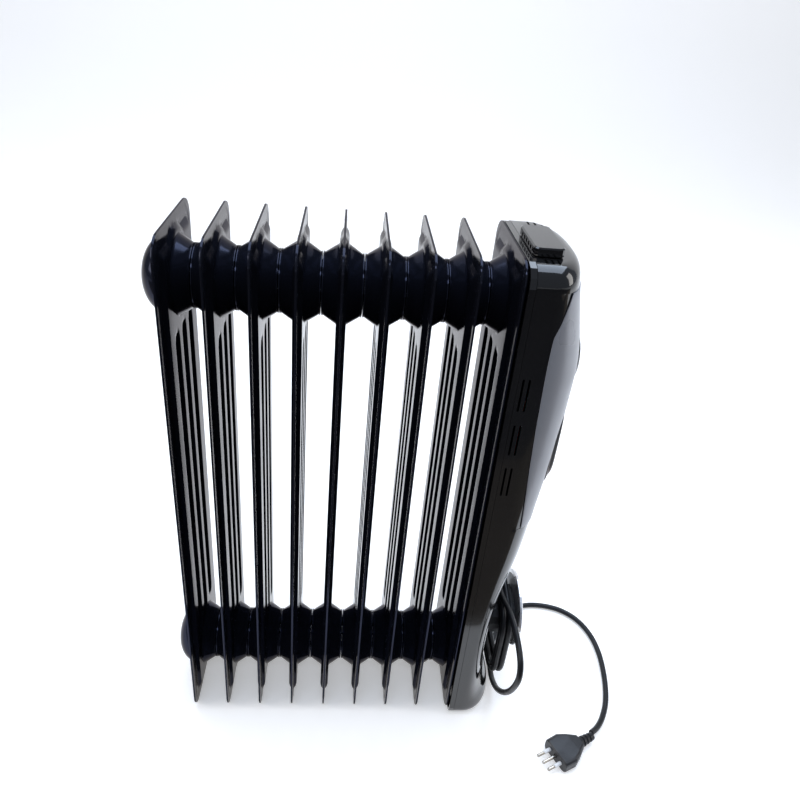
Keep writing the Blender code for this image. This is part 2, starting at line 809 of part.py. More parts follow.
console_hole = prism(
    "console_hole",
    [squared_oval(CONSOLE_HALF_WIDTH + GAP, CONSOLE_HALF_HEIGHT + GAP, CONSOLE_Z)],
    "X",
    CONSOLE_BACK - 0.02,
    CONSOLE_FRONT + 0.01,
    collection=cutters,
)
HUB_LOOP = rounded(HUB_HALF_WIDTH, HUB_LOW, HUB_HIGH, HUB_CORNER)
hub_hole = prism(
    "hub_hole",
    [rounded(HUB_HALF_WIDTH + GAP, HUB_LOW - GAP, HUB_HIGH + GAP, HUB_CORNER + GAP)],
    "X",
    HUB_BACK - 0.005,
    DISC_BACK,
    collection=cutters,
)
knob_well = turned(
    "knob_well",
    [
        (0, 0),
        (KNOB_RADIUS + KNOB_CLEAR, 0),
        (KNOB_RADIUS + KNOB_CLEAR, KNOB_FRONT - SHAFT_BACK),
        (0, KNOB_FRONT - SHAFT_BACK),
    ],
    "X",
    (SHAFT_BACK, 0, KNOB_Z),
    steps=40,
    collection=cutters,
)
GLAND_RADIUS = 0.0065
gland_hole = turned(
    "gland_hole",
    [(0, -0.01), (GLAND_RADIUS + GAP, -0.01), (GLAND_RADIUS + GAP, 0.01), (0, 0.01)],
    "Y",
    (EXIT_X, SHELL_HALF_WIDTH, EXIT_Z),
    steps=20,
    collection=cutters,
)
combine(shell, [cavity, vents, console_hole, hub_hole, knob_well, gland_hole])
own_material(shell, GLOSS)


def panel_section(z):
    edge = float(np.interp(z, [p[0] for p in PANEL_EDGE], [p[1] for p in PANEL_EDGE]))
    outer = plan_arc(z, -0.0006, 0, edge)
    inner = plan_arc(z, -PANEL_CLEAR, PANEL_SINK, edge)
    return outer + inner[::-1]


panel = loft(
    "front_panel",
    [panel_section(z) for z in (PANEL_LOW + GAP, *PANEL_LEVELS, PANEL_HIGH - GAP)],
)
combine(panel, [console_hole, knob_well])
own_material(panel, PANEL)

base_levels = (0.0, 0.0015, BASE_THICKNESS)
base = loft("bottom_cover", [housing_section(z, 0, 0, SHELL_BACK) for z in base_levels])
screw_holes = []
for number, (x, y) in enumerate(SCREW_PLACES):
    recess = [
        (0, -0.001),
        (SCREW_HEAD + GAP, -0.001),
        (SCREW_HEAD + GAP, 0.002),
        (SCREW_SHANK + GAP, 0.002),
        (SCREW_SHANK + GAP, 0.006),
        (0, 0.006),
    ]
    screw_holes.append(
        turned(f"screw_hole_{number}", recess, "Z", (x, y, 0), steps=16, collection=cutters)
    )
    screw = turned(
        f"base_screw_{number + 1}",
        [
            (0, 0.0006),
            (SCREW_HEAD, 0.0006),
            (SCREW_HEAD, 0.002 - GAP),
            (SCREW_SHANK, 0.002 - GAP),
            (SCREW_SHANK, 0.010),
            (0, 0.010),
        ],
        "Z",
        (x, y, 0),
        steps=16,
    )
    own_material(screw, STEEL)
combine(base, screw_holes)
own_material(base, MATT)

cap_half = (VENT_CAP_X[1] - VENT_CAP_X[0]) / 2
cap_middle = sum(VENT_CAP_X) / 2
vent_cap = prism(
    "top_vent_cap",
    [rounded(cap_half, *VENT_CAP_Y, VENT_CAP_CORNER, middle=cap_middle)],
    "Z",
    SHELL_TOP + GAP,
    SHELL_TOP + GAP + VENT_CAP_HEIGHT,
    rim=0.0012,
)
louvres = []
louvre_y = VENT_CAP_Y[0] + LOUVRE_PITCH
while louvre_y + LOUVRE_WIDTH / 2 < VENT_CAP_Y[1] - LOUVRE_WIDTH:
    louvres.append(
        (
            (VENT_CAP_X[0] - 0.002, VENT_CAP_X[1] + 0.002),
            (louvre_y - LOUVRE_WIDTH / 2, louvre_y + LOUVRE_WIDTH / 2),
            (SHELL_TOP + 0.0025, SHELL_TOP + VENT_CAP_HEIGHT - 0.0025),
        )
    )
    louvre_y += LOUVRE_PITCH
combine(vent_cap, [boxes("louvre_slots", louvres)])
own_material(vent_cap, GLOSS)

# ---- Controls ---------------------------------------------------------------------------

thermostat = box(
    "thermostat_body", (0.194, 0.2190), (-0.017, 0.017), (KNOB_Z - 0.017, KNOB_Z + 0.017)
)
body_bore = turned(
    "thermostat_bore",
    [(0, 0), (SHAFT_RADIUS + GAP, 0), (SHAFT_RADIUS + GAP, 0.03), (0, 0.03)],
    "X",
    (SHAFT_BACK - GAP, 0, KNOB_Z),
    steps=20,
    collection=cutters,
)
combine(thermostat, [body_bore])
own_material(thermostat, CERAMIC)
SHAFT_END = KNOB_FRONT - 0.004
shaft = turned(
    "thermostat_shaft",
    [(0, 0), (SHAFT_RADIUS, 0), (SHAFT_RADIUS, SHAFT_END - SHAFT_BACK), (0, SHAFT_END - SHAFT_BACK)],
    "X",
    (0, 0, 0),
    steps=20,
)
shaft.location = (SHAFT_BACK, 0, KNOB_Z)
own_material(shaft, STEEL)

KNOB_DEPTH = KNOB_FRONT - KNOB_BACK
KNOB_BASE = 0.0102
GRIP_HALF_WIDTH = 0.0045
knob = turned(
    "thermostat_knob",
    [
        (0, 0),
        (KNOB_RADIUS - 0.001, 0),
        (KNOB_RADIUS, 0.001),
        (KNOB_RADIUS - 0.0006, KNOB_BASE - 0.002),
        (KNOB_RADIUS - 0.0025, KNOB_BASE),
        (0, KNOB_BASE),
    ],
    "X",
    (0, 0, 0),
    steps=40,
)
grip = prism(
    "knob_grip",
    [slot(GRIP_HALF_WIDTH, -KNOB_RADIUS + 0.004, KNOB_RADIUS - 0.004, steps=8)],
    "X",
    KNOB_BASE - 0.002,
    KNOB_DEPTH,
    rim=0.001,
)
knob_bore = turned(
    "knob_bore",
    [
        (0, -0.001),
        (SHAFT_RADIUS + GAP, -0.001),
        (SHAFT_RADIUS + GAP, SHAFT_END - KNOB_BACK + GAP),
        (0, SHAFT_END - KNOB_BACK + GAP),
    ],
    "X",
    (0, 0, 0),
    steps=20,
)
combine(knob, [grip], "UNION")
combine(knob, [knob_bore])
knob = fixed_shape(knob, [grip, knob_bore])
knob.location = (KNOB_BACK, 0, KNOB_Z)
own_material(knob, GLOSS)


def console_ring(share):
    """One ring of the console's crowned face, whose edge slopes away to the panel."""
    ring = []
    slope = CONSOLE_EDGE * max(share - CONSOLE_FLAT, 0) / (1 - CONSOLE_FLAT)
    for y, z in squared_oval(CONSOLE_HALF_WIDTH * share, CONSOLE_HALF_HEIGHT * share, CONSOLE_Z):
        ring.append((CONSOLE_FRONT - y * y / (2 * CONSOLE_CURVE) - slope, y, z))
    return ring


CONSOLE_FLAT = 0.82
console_back = [(CONSOLE_BACK, y, z) for _, y, z in console_ring(1.0)]
console_rings = [console_ring(share) for share in (1.0, CONSOLE_FLAT, 0.55, 0.25)]
console = loft("control_console", [console_back, *console_rings])
openings = []
for side in (-1, 1):
    middle = side * ROCKER_Y
    reach = ROCKER_WIDTH / 2 + GAP
    openings.append(
        (
            (CONSOLE_FRONT - 0.012, CONSOLE_FRONT + 0.01),
            (middle - reach, middle + reach),
            (ROCKER_Z - ROCKER_OPENING / 2, ROCKER_Z + ROCKER_OPENING / 2),
        )
    )
rocker_cut = boxes("rocker_openings", openings)
PIVOT_SPAN = ROCKER_WIDTH / 2 + 0.0015
pivot_cuts = []
for number, side in enumerate((-1, 1)):
    span = PIVOT_SPAN + GAP
    radius = PIVOT_RADIUS + GAP
    pivot_cuts.append(
        turned(
            f"pivot_cut_{number}",
            [(0, -span), (radius, -span), (radius, span), (0, span)],
            "Y",
            (ROCKER_PIVOT_X, side * ROCKER_Y, ROCKER_Z),
            steps=12,
            collection=cutters,
        )
    )
lens_hole = turned(
    "lens_hole",
    [(0, 0), (LENS_RADIUS + GAP, 0), (LENS_RADIUS + GAP, 0.02), (0, 0.02)],
    "X",
    (CONSOLE_FRONT - 0.006, 0, LENS_Z),
    steps=20,
    collection=cutters,
)
combine(console, [rocker_cut, *pivot_cuts, lens_hole], solver="MANIFOLD")
own_material(console, GLOSS)

lens = turned(
    "indicator_lens",
    [
        (0, 0),
        (LENS_RADIUS, 0),
        (LENS_RADIUS, 0.0055),
        (LENS_RADIUS * 0.8, 0.0068),
        (LENS_RADIUS * 0.4, 0.0074),
        (0, 0.0076),
    ],
    "X",
    (CONSOLE_FRONT - 0.006 + GAP, 0, LENS_Z),
    steps=20,
)
own_material(lens, AMBER)

ROCKER_SHAPE = (
    (0.0036, -ROCKER_REACH * 0.94),
    (0.0018, 0.0),
    (0.0036, ROCKER_REACH * 0.94),
    (-0.0015, ROCKER_REACH * 0.94),
    (-0.0045, 0.0045),
    (-0.0045, -0.0045),
    (-0.0015, -ROCKER_REACH * 0.94),
)
ROCKER_LEAN = math.radians(6)
for number, side in ((1, -1), (2, 1)):
    leaning = [
        (
            z * math.cos(ROCKER_LEAN) - x * math.sin(ROCKER_LEAN),
            x * math.cos(ROCKER_LEAN) + z * math.sin(ROCKER_LEAN),
        )
        for x, z in ROCKER_SHAPE
    ]
    rocker = prism(f"rocker_{number}", [leaning], "Y", -ROCKER_WIDTH / 2, ROCKER_WIDTH / 2, rim=0.0004)
    pivot = turned(
        f"rocker_pivot_{number}",
        [(0, -PIVOT_SPAN), (PIVOT_RADIUS, -PIVOT_SPAN), (PIVOT_RADIUS, PIVOT_SPAN), (0, PIVOT_SPAN)],
        "Y",
        (0, 0, 0),
        steps=12,
    )
    combine(rocker, [pivot], "UNION")
    rocker = fixed_shape(rocker, [pivot])
    rocker.location = (ROCKER_PIVOT_X, side * ROCKER_Y, ROCKER_Z)
    own_material(rocker, MATT)
    body = box(
        f"switch_body_{number}",
        (0.190, CONSOLE_BACK - GAP),
        (side * ROCKER_Y - 0.0065, side * ROCKER_Y + 0.0065),
        (ROCKER_Z - 0.010, ROCKER_Z + 0.010),
    )
    own_material(body, MATT)

# ---- Tip-over switch and wiring ---------------------------------------------------------

tilt_body = box(
    "tip_over_body",
    (TILT_X - 0.0085, TILT_X + 0.0085),
    (TILT_Y - 0.008, TILT_Y + 0.008),
    (TILT_PIVOT_Z - 0.031, TILT_PIVOT_Z + 0.006),
)
tilt_room = boxes(
    "tip_over_room",
    [
        (
            (TILT_X - 0.0095, TILT_X + 0.0095),
            (TILT_Y - 0.0055, TILT_Y + 0.0055),
            (TILT_PIVOT_Z - 0.028, TILT_PIVOT_Z + 0.003),
        )
    ],
)
TILT_PIN = 0.001
TILT_PIN_SPAN = 0.0072
tilt_bore = turned(
    "tip_over_bore",
    [(0, -0.0075), (TILT_PIN + GAP, -0.0075), (TILT_PIN + GAP, 0.0075), (0, 0.0075)],
    "Y",
    (TILT_X, TILT_Y, TILT_PIVOT_Z),
    steps=12,
    collection=cutters,
)
combine(tilt_body, [tilt_room, tilt_bore])
own_material(tilt_body, WHITE)
pendulum = turned(
    "tip_over_pendulum",
    [
        (0, 0.0018),
        (0.0018, 0.0018),
        (0.0012, -TILT_ARM + 0.004),
        (TILT_BOB_RADIUS, -TILT_ARM + 0.003),
        (TILT_BOB_RADIUS, -TILT_ARM - 0.004),
        (0, -TILT_ARM - 0.004),
    ],
    "Z",
    (0, 0, 0),
    steps=16,
)
tilt_pin = turned(
    "tip_over_pin",
    [(0, -TILT_PIN_SPAN), (TILT_PIN, -TILT_PIN_SPAN), (TILT_PIN, TILT_PIN_SPAN), (0, TILT_PIN_SPAN)],
    "Y",
    (0, 0, 0),
    steps=12,
)
combine(pendulum, [tilt_pin], "UNION")
pendulum = fixed_shape(pendulum, [tilt_pin])
pendulum.location = (TILT_X, TILT_Y, TILT_PIVOT_Z)
own_material(pendulum, STEEL)

CONTROL_PORT_Y = -0.039
ELEMENT_PORT_Y = -0.027
PORT_HALF_WIDTH = 0.003
block = box("terminal_block", (0.166, 0.178), (-0.045, -0.021), (0.150, 0.170))
ports = [
    ((0.169, 0.175), (y - PORT_HALF_WIDTH, y + PORT_HALF_WIDTH), (0.163, 0.172))
    for y in (CONTROL_PORT_Y, ELEMENT_PORT_Y)
]
wire_ports = boxes("terminal_ports", ports)
combine(block, [wire_ports])
own_material(block, WHITE)
LEAD_RADIUS = 0.0012
TERMINAL_TOP = HEADER_MARGIN + ELEMENT_SPREAD + TAB_HALF_THICKNESS + GAP
CONTROL_LEAD_ROUTE = (
    (0.172, CONTROL_PORT_Y, 0.1655),
    (0.172, -0.040, 0.22),
    (0.178, -0.036, 0.30 + RISE),
    (0.186, -0.024, 0.39 + RISE),
    (0.192, -0.012, KNOB_Z - 0.034),
    (0.200, -0.008, KNOB_Z - 0.0175),
)
ELEMENT_LEAD_ROUTE = (
    (0.172, ELEMENT_PORT_Y, 0.1655),
    (0.174, -0.024, 0.176),
    (0.182, -0.010, 0.178),
    (0.1835, 0.002, 0.160),
    (0.1830, 0.003, 0.110),
    (0.1860, 0.0, TERMINAL_TOP),
)
for name, route, step in (
    ("control_lead", CONTROL_LEAD_ROUTE, 0.03),
    ("element_lead", ELEMENT_LEAD_ROUTE, 0.02),
):
    own_material(tube(name, smooth_route(route, step), LEAD_RADIUS, 1), COPPER)

# ---- Cord reel --------------------------------------------------------------------------

hub = prism("reel_hub", [HUB_LOOP], "X", HUB_BACK, DISC_BACK - GAP)
own_material(hub, MATT)
REEL_SCREW_HOLE = 0.0035
REEL_SCREW_CROWN = DISC_THICKNESS + 0.0036
disc = turned(
    "reel_disc",
    [
        (REEL_SCREW_HOLE, 0),
        (DISC_RADIUS, 0),
        (DISC_RADIUS, DISC_THICKNESS),
        (DISC_RADIUS * 0.5, DISC_THICKNESS + 0.0010),
        (REEL_SCREW_HOLE, DISC_THICKNESS + 0.0012),
    ],
    "X",
    (DISC_BACK, 0, REEL_Z),
    closed=True,
    steps=48,
)
own_material(disc, GREY)
ring = turned(
    "reel_ring",
    [
        (DISC_RADIUS + GAP, -0.0006),
        (RING_RADIUS - 0.001, -0.0006),
        (RING_RADIUS, 0.0004),
        (RING_RADIUS, DISC_THICKNESS),
        (RING_RADIUS - 0.001, DISC_THICKNESS + 0.001),
        (DISC_RADIUS + GAP, DISC_THICKNESS + 0.001),
    ],
    "X",
    (DISC_BACK, 0, REEL_Z),
    closed=True,
    steps=48,
)
own_material(ring, SILVER)
reel_screw = turned(
    "reel_screw",
    [
        (0, GAP / 2),
        (REEL_SCREW_HOLE - GAP, GAP / 2),
        (REEL_SCREW_HOLE - GAP, DISC_THICKNESS + 0.0015 + GAP),
        (0.0055, DISC_THICKNESS + 0.0015 + GAP),
        (0.0048, REEL_SCREW_CROWN - 0.0004),
        (0, REEL_SCREW_CROWN),
    ],
    "X",
    (DISC_BACK, 0, REEL_Z),
    steps=20,
)
own_material(reel_screw, STEEL)

hank = prism(
    "cord_hank",
    [
        rounded(HANK_HALF_WIDTH, HANK_LOW, HANK_HIGH, HANK_CORNER, steps=8),
        rounded(
            HANK_HALF_WIDTH - HANK_BUILD,
            HANK_LOW + HANK_BUILD,
            HANK_HIGH - HANK_BUILD,
            HANK_CORNER - HANK_BUILD,
            steps=8,
        ),
    ],
    "X",
    *HANK_X,
    rim=0.003,
)
own_material(hank, CORD)

# ---- Cord exit --------------------------------------------------------------------------

gland_in = -0.006
gland = turned(
    "cord_gland",
    [
        (0, gland_in),
        (GLAND_RADIUS, gland_in),
        (GLAND_RADIUS, GAP),
        (GLAND_RADIUS + 0.003, GAP),
        (GLAND_RADIUS + 0.003, 0.0022),
        (GLAND_RADIUS + 0.002, 0.003),
        (0, 0.003),
    ],
    "Y",
    (EXIT_X, SHELL_HALF_WIDTH, EXIT_Z),
    steps=20,
)
own_material(gland, MATT)


def ribbed_boot(name, root, tip, length, ribs):
    """Half outline of a tapering strain relief with shallow ribs, from its root along the axis."""
    profile = [(0, 0), (root, 0)]
    for rib in range(ribs):
        start = length * (rib + 0.55) / (ribs + 1)
        end = length * (rib + 1.0) / (ribs + 1)
        outer = root + (tip - root) * start / length
        inner = outer - 0.0011
        profile += [(outer, start), (inner, start + 0.0006), (inner, end - 0.0006), (outer, end)]
    profile += [(tip, length), (0, length)]
    return turned(name, profile, "Z", (0, 0, 0), steps=16)


boot = ribbed_boot("cord_boot", 0.0065, 0.0046, BOOT_LENGTH, 3)
boot.data.transform(placed("Y", (EXIT_X, SHELL_HALF_WIDTH + 0.003 + GAP, EXIT_Z)))
own_material(boot, CORD)
own_material(tube("cord_lead_in", smooth_route(LEAD_ROUTE, CORD_STEP), CORD_RADIUS), CORD)
own_material(tube("cord_tail", smooth_route(TAIL_ROUTE, CORD_STEP), CORD_RADIUS), CORD)

# ---- Plug -------------------------------------------------------------------------------

plug_back = Vector((*PLUG_AXIS, 0)).normalized()
plug_side = Vector((0, 0, 1)).cross(plug_back)
plug_frame = Matrix(
    (
        (plug_side.x, 0, plug_back.x, PLUG_FACE[0]),
        (plug_side.y, 0, plug_back.y, PLUG_FACE[1]),
        (plug_side.z, 1, plug_back.z, PLUG_Z),
        (0, 0, 0, 1),
    )
)
if plug_frame.determinant() < 0:
    plug_frame = plug_frame @ Matrix.Scale(-1, 4, (1, 0, 0))


def plug_ring(along, half_across, half_up):
    corner = min(half_up * 0.55, half_across * 0.55)
    ring_points = rounded(half_across, -half_up, half_up, corner, steps=3)
    return [(across, up, along) for across, up in ring_points]


levels = [(0.0, PLUG_OUTLINE[0][1] - 0.001, PLUG_HALF_HEIGHT - 0.001)]
levels += [(0.001, PLUG_OUTLINE[0][1], PLUG_HALF_HEIGHT)]
levels += [(u, w, min(PLUG_HALF_HEIGHT, w)) for u, w in PLUG_OUTLINE[1:-1]]
levels += [(PLUG_OUTLINE[-1][0], PLUG_OUTLINE[-1][1], PLUG_OUTLINE[-1][1] - 0.001)]
plug_body = loft("plug_body", [plug_ring(*level) for level in levels])
pin_holes = []
for number, step in ((1, -1), (2, 0), (3, 1)):
    hole = SLEEVE_RADIUS + GAP
    pin_holes.append(
        turned(
            f"pin_hole_{number}",
            [(0, -0.002), (hole, -0.002), (hole, PIN_ROOT + GAP), (0, PIN_ROOT + GAP)],
            "Z",
            (step * PIN_SPACING, 0, 0),
            steps=14,
            collection=cutters,
        )
    )
    sleeved = step != 0
    pin = turned(
        f"plug_pin_{number}",
        [
            (0, -PIN_LENGTH),
            (PIN_RADIUS - 0.0007, -PIN_LENGTH),
            (PIN_RADIUS, -PIN_LENGTH + 0.0012),
            (PIN_RADIUS, -SLEEVE_LENGTH),
            (PIN_RADIUS - 0.0006 * sleeved, -SLEEVE_LENGTH + GAP * sleeved),
            (PIN_RADIUS - 0.0006 * sleeved, PIN_ROOT),
            (0, PIN_ROOT),
        ],
        "Z",
        (step * PIN_SPACING, 0, 0),
        steps=14,
    )
    pin.matrix_world = plug_frame
    own_material(pin, STEEL)
    if sleeved:
        inner = PIN_RADIUS - 0.0006 + GAP
        sleeve = turned(
            f"pin_sleeve_{number}",
            [
                (inner, -SLEEVE_LENGTH + 2 * GAP),
                (SLEEVE_RADIUS, -SLEEVE_LENGTH + 2 * GAP),
                (SLEEVE_RADIUS, PIN_ROOT - GAP),
                (inner, PIN_ROOT - GAP),
            ],
            "Z",
            (step * PIN_SPACING, 0, 0),
            closed=True,
            steps=14,
        )
        sleeve.matrix_world = plug_frame
        own_material(sleeve, WHITE)
for hole in pin_holes:
    hole.matrix_world = plug_frame
plug_body.matrix_world = plug_frame
combine(plug_body, pin_holes)
own_material(plug_body, MATT)
plug_boot = ribbed_boot("plug_boot", 0.0068, 0.0046, PLUG_BOOT_LENGTH, 3)
plug_boot.matrix_world = plug_frame @ Matrix.Translation((0, 0, PLUG_BODY_LENGTH + GAP))
own_material(plug_boot, CORD)

# ---- Centre the body on the origin -------------------------------------------------------

BODY_LOW = FIRST_FIN - FIN_DEPTH / 2 - GAP - CAP_DEPTH
HOUSING_MOVE = LAST_FIN - LAST_FIN_DATUM
BODY_HIGH = max(KNOB_FRONT, DISC_BACK + REEL_SCREW_CROWN) + HOUSING_MOVE
for part in bpy.data.objects:
    part.location.x -= (BODY_LOW + BODY_HIGH) / 2
    if part not in RADIATOR_PARTS:
        part.location.x += HOUSING_MOVE
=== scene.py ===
"""Oil filled radiator heater: looks, camera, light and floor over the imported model."""

import math

import bmesh
import bpy
import numpy as np
from mathutils import Matrix, Vector


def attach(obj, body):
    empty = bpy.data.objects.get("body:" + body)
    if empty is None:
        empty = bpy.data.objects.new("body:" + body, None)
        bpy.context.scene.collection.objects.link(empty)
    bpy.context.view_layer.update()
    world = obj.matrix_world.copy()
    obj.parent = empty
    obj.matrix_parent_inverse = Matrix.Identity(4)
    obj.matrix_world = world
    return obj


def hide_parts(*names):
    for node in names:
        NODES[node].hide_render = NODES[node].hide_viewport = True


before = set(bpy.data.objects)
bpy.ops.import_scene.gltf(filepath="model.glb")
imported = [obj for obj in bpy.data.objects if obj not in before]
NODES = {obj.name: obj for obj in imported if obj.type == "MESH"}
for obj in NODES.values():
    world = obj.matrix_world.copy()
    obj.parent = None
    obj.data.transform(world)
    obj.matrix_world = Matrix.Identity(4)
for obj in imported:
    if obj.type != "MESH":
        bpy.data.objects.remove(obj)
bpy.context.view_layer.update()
BODY = "heater"
SHIFT = 0.02755          # from the middle fin to the part's origin, along X

# ---- Camera -----------------------------------------------------------------------------

# The axes and place come from a fit to the fins' tips and the headers' joints.
LENS_MM = 31.65
SENSOR_MM = 36
RIGHT = Vector((0.9951, -0.0494, 0.0856))
UP = Vector((-0.0479, 0.5162, 0.8551))
AHEAD = Vector((0.0864, 0.8550, -0.5113))
CAMERA_PLACE = (0.0016 - SHIFT, -0.6157, 0.7727)

camera_data = bpy.data.cameras.new("photo_camera")
camera_data.lens = LENS_MM
camera_data.sensor_width = SENSOR_MM
camera = bpy.data.objects.new("photo_camera", camera_data)
bpy.context.scene.collection.objects.link(camera)
pose = Matrix((RIGHT, UP, -AHEAD)).transposed().to_4x4()
pose.translation = Vector(CAMERA_PLACE)
camera.matrix_world = pose
bpy.context.scene.camera = camera
bpy.context.scene.view_settings.view_transform = "Standard"

# ---- Materials --------------------------------------------------------------------------

VARIED = 4.0             # octaves of the noise behind a tint or a roughness


class Look:
    """A Principled material with noise driven colour, roughness and bump."""

    def __init__(self, name, color, roughness, metallic=0.0):
        self.made = bpy.data.materials.new(name)
        self.made.use_nodes = True
        self.tree = self.made.node_tree
        self.shader = self.tree.nodes["Principled BSDF"]
        self.place = self.tree.nodes.new("ShaderNodeTexCoord").outputs["Object"]
        self.set("Base Color", (*color, 1))
        self.set("Roughness", roughness)
        self.set("Metallic", metallic)
        self.color = color
        self.normal = None

    def set(self, socket, value):
        self.shader.inputs[socket].default_value = value
        return self

    def noise(self, scale, detail, stretch=None):
        texture = self.tree.nodes.new("ShaderNodeTexNoise")
        texture.inputs["Scale"].default_value = scale
        texture.inputs["Detail"].default_value = detail
        source = self.place
        if stretch:
            mapping = self.tree.nodes.new("ShaderNodeMapping")
            mapping.inputs["Scale"].default_value = stretch
            self.tree.links.new(source, mapping.inputs["Vector"])
            source = mapping.outputs["Vector"]
        self.tree.links.new(source, texture.inputs["Vector"])
        return texture.outputs["Fac"]

    def ramp(self, factor, low, high, start=0.35, end=0.65):
        scaled = self.tree.nodes.new("ShaderNodeMapRange")
        scaled.inputs["From Min"].default_value = start
        scaled.inputs["From Max"].default_value = end
        scaled.inputs["To Min"].default_value = low
        scaled.inputs["To Max"].default_value = high
        self.tree.links.new(factor, scaled.inputs["Value"])
        return scaled.outputs["Result"]

    def rough(self, low, high, scale, stretch=None):
        varied = self.ramp(self.noise(scale, VARIED, stretch), low, high)
        self.tree.links.new(varied, self.shader.inputs["Roughness"])
        return self

    def tint(self, other, scale, amount=1.0):
        mix = self.tree.nodes.new("ShaderNodeMix")
        mix.data_type = "RGBA"
        mix.inputs["A"].default_value = (*self.color, 1)
        mix.inputs["B"].default_value = (*other, 1)
        varied = self.ramp(self.noise(scale, VARIED), 0, amount)
        self.tree.links.new(varied, mix.inputs["Factor"])
        self.tree.links.new(mix.outputs["Result"], self.shader.inputs["Base Color"])
        return self

    def bump(self, scale, height, strength=0.3, detail=2.0, stretch=None):
        node = self.tree.nodes.new("ShaderNodeBump")
        node.inputs["Distance"].default_value = height
        node.inputs["Strength"].default_value = strength
        self.tree.links.new(self.noise(scale, detail, stretch), node.inputs["Height"])
        if self.normal is not None:
            self.tree.links.new(self.normal, node.inputs["Normal"])
        self.normal = node.outputs["Normal"]
        self.tree.links.new(self.normal, self.shader.inputs["Normal"])
        return self


def enamel(name):
    look = Look(name, (0.024, 0.028, 0.048), 0.1, 0.75)
    look.tint((0.020, 0.021, 0.028), 9, 0.7).rough(0.10, 0.19, 14)
    look.bump(420, 0.00006, 0.35, 1.0).bump(18, 0.0004, 0.12, 1.0)
    return look.set("IOR", 1.24).set("Specular Tint", (0.60, 0.57, 0.54, 1))


def moulding_grain(look):
    return look.bump(650, 0.00003, 0.25, 1.0)


def gloss(name):
    look = Look(name, (0.005, 0.005, 0.006), 0.1)
    look.tint((0.009, 0.0088, 0.0085), 12, 0.6).rough(0.07, 0.15, 22)
    return moulding_grain(look).set("Coat Weight", 0.4).set("Coat Roughness", 0.03)


def silver_paint(name):
    look = Look(name, (0.33, 0.335, 0.36), 0.3, 0.2)
    look.tint((0.36, 0.365, 0.39), 12, 0.6).rough(0.26, 0.36, 22)
    return moulding_grain(look).set("IOR", 1.3)


def console_plastic(name):
    look = Look(name, (0.022, 0.019, 0.018), 0.12, 0.8)
    look.tint((0.030, 0.025, 0.023), 12, 0.6).rough(0.10, 0.20, 22)
    return moulding_grain(look).set("Specular Tint", (0.30, 0.26, 0.24, 1))


def lamp_lens(name):
    look = Look(name, (0.55, 0.16, 0.02), 0.12)
    look.tint((0.75, 0.28, 0.05), 120).rough(0.06, 0.16, 200)
    return look.bump(700, 0.0001, 0.4).set("Transmission Weight", 0.35)


def moulded(name, color=(0.0085, 0.0088, 0.0110), low=0.32, high=0.48):
    look = Look(name, color, 0.45)
    lighter = tuple(min(1.0, c * 1.6 + 0.004) for c in color)
    return look.tint(lighter, 40, 0.5).rough(low, high, 60).bump(1600, 0.00006, 0.5, 2.0)


def rubber(name):
    look = Look(name, (0.0055, 0.0060, 0.0080), 0.4)
    look.tint((0.010, 0.0102, 0.0120), 30, 0.6).rough(0.30, 0.48, 80)
    return look.bump(900, 0.00008, 0.4, 2.0).set("IOR", 1.38)


def metal(name, color, low, high, stretch=(1, 1, 1)):
    look = Look(name, color, 0.3, 1.0)
    darker = tuple(c * 0.8 for c in color)
    look.tint(darker, 60, 0.5).rough(low, high, 90, stretch)
    return look.bump(300, 0.00005, 0.25, 2.0, stretch)


ENAMEL = enamel("black_enamel").made
GLOSS = gloss("black_gloss_plastic").made
PANEL = silver_paint("front_panel_silver").made
CONSOLE = console_plastic("console_black").made
MATT = moulded("black_matt_plastic").made
CORD = rubber("black_cord_sheath").made
RUBBER = rubber("black_strain_relief").made
SILVER = metal("silver_trim", (0.88, 0.88, 0.89), 0.24, 0.38).made
GREY = moulded("grey_plastic", (0.16, 0.16, 0.165), 0.30, 0.45).made
STEEL = metal("zinc_steel", (0.62, 0.62, 0.63), 0.25, 0.42).made
PIN = metal("nickel_pin", (0.56, 0.52, 0.46), 0.20, 0.34, (1, 1, 14)).made
CERAMIC = moulded("white_ceramic", (0.74, 0.72, 0.67), 0.45, 0.65).made
WHITE = moulded("white_nylon", (0.82, 0.81, 0.79), 0.30, 0.45).made
LEAD = moulded("lead_insulation", (0.42, 0.06, 0.04), 0.35, 0.5).made
AMBER = lamp_lens("amber_lens").made

NODE_LOOKS = (
    (MATT, (
        "bottom_cover",
        "switch_body_1",
        "switch_body_2",
        "reel_hub",
        "cord_gland",
        "rocker_1",
        "rocker_2",
        "plug_body",
    )),
    (GLOSS, ("top_vent_cap", "rear_frame", "control_console", "thermostat_knob")),
    (CERAMIC, ("thermostat_body", "thermal_cutout")),
    (WHITE, ("terminal_block", "tip_over_body", "pin_sleeve_1", "pin_sleeve_3")),
    (PIN, ("plug_pin_1", "plug_pin_2", "plug_pin_3")),
    (AMBER, ("indicator_lens",)),
    (LEAD, ("control_lead", "element_lead")),
    (SILVER, ("reel_ring",)),
    (GREY, ("reel_disc",)),
    (RUBBER, ("cord_boot", "plug_boot")),
)
node_looks = {name: look for look, names in NODE_LOOKS for name in names}

for name, node in NODES.items():
    look = node_looks.get(name, STEEL)
    if name.startswith("radiator_fin") or name.endswith("header_cap"):
        look = ENAMEL
    for place in node.material_slots:
        place.link = "OBJECT"
        place.material = look

# ---- Mesh tools -------------------------------------------------------------------------


MERGE_DISTANCE = 2e-6
SHARP_ANGLE = math.radians(30)
CARVED_SHARP_ANGLE = math.radians(32)
BEVEL_ANGLE = math.radians(50)


def helper(name, data):
    """An object in the scene, not yet on a body."""
    made = bpy.data.objects.new(name, data)
    bpy.context.scene.collection.objects.link(made)
    return made


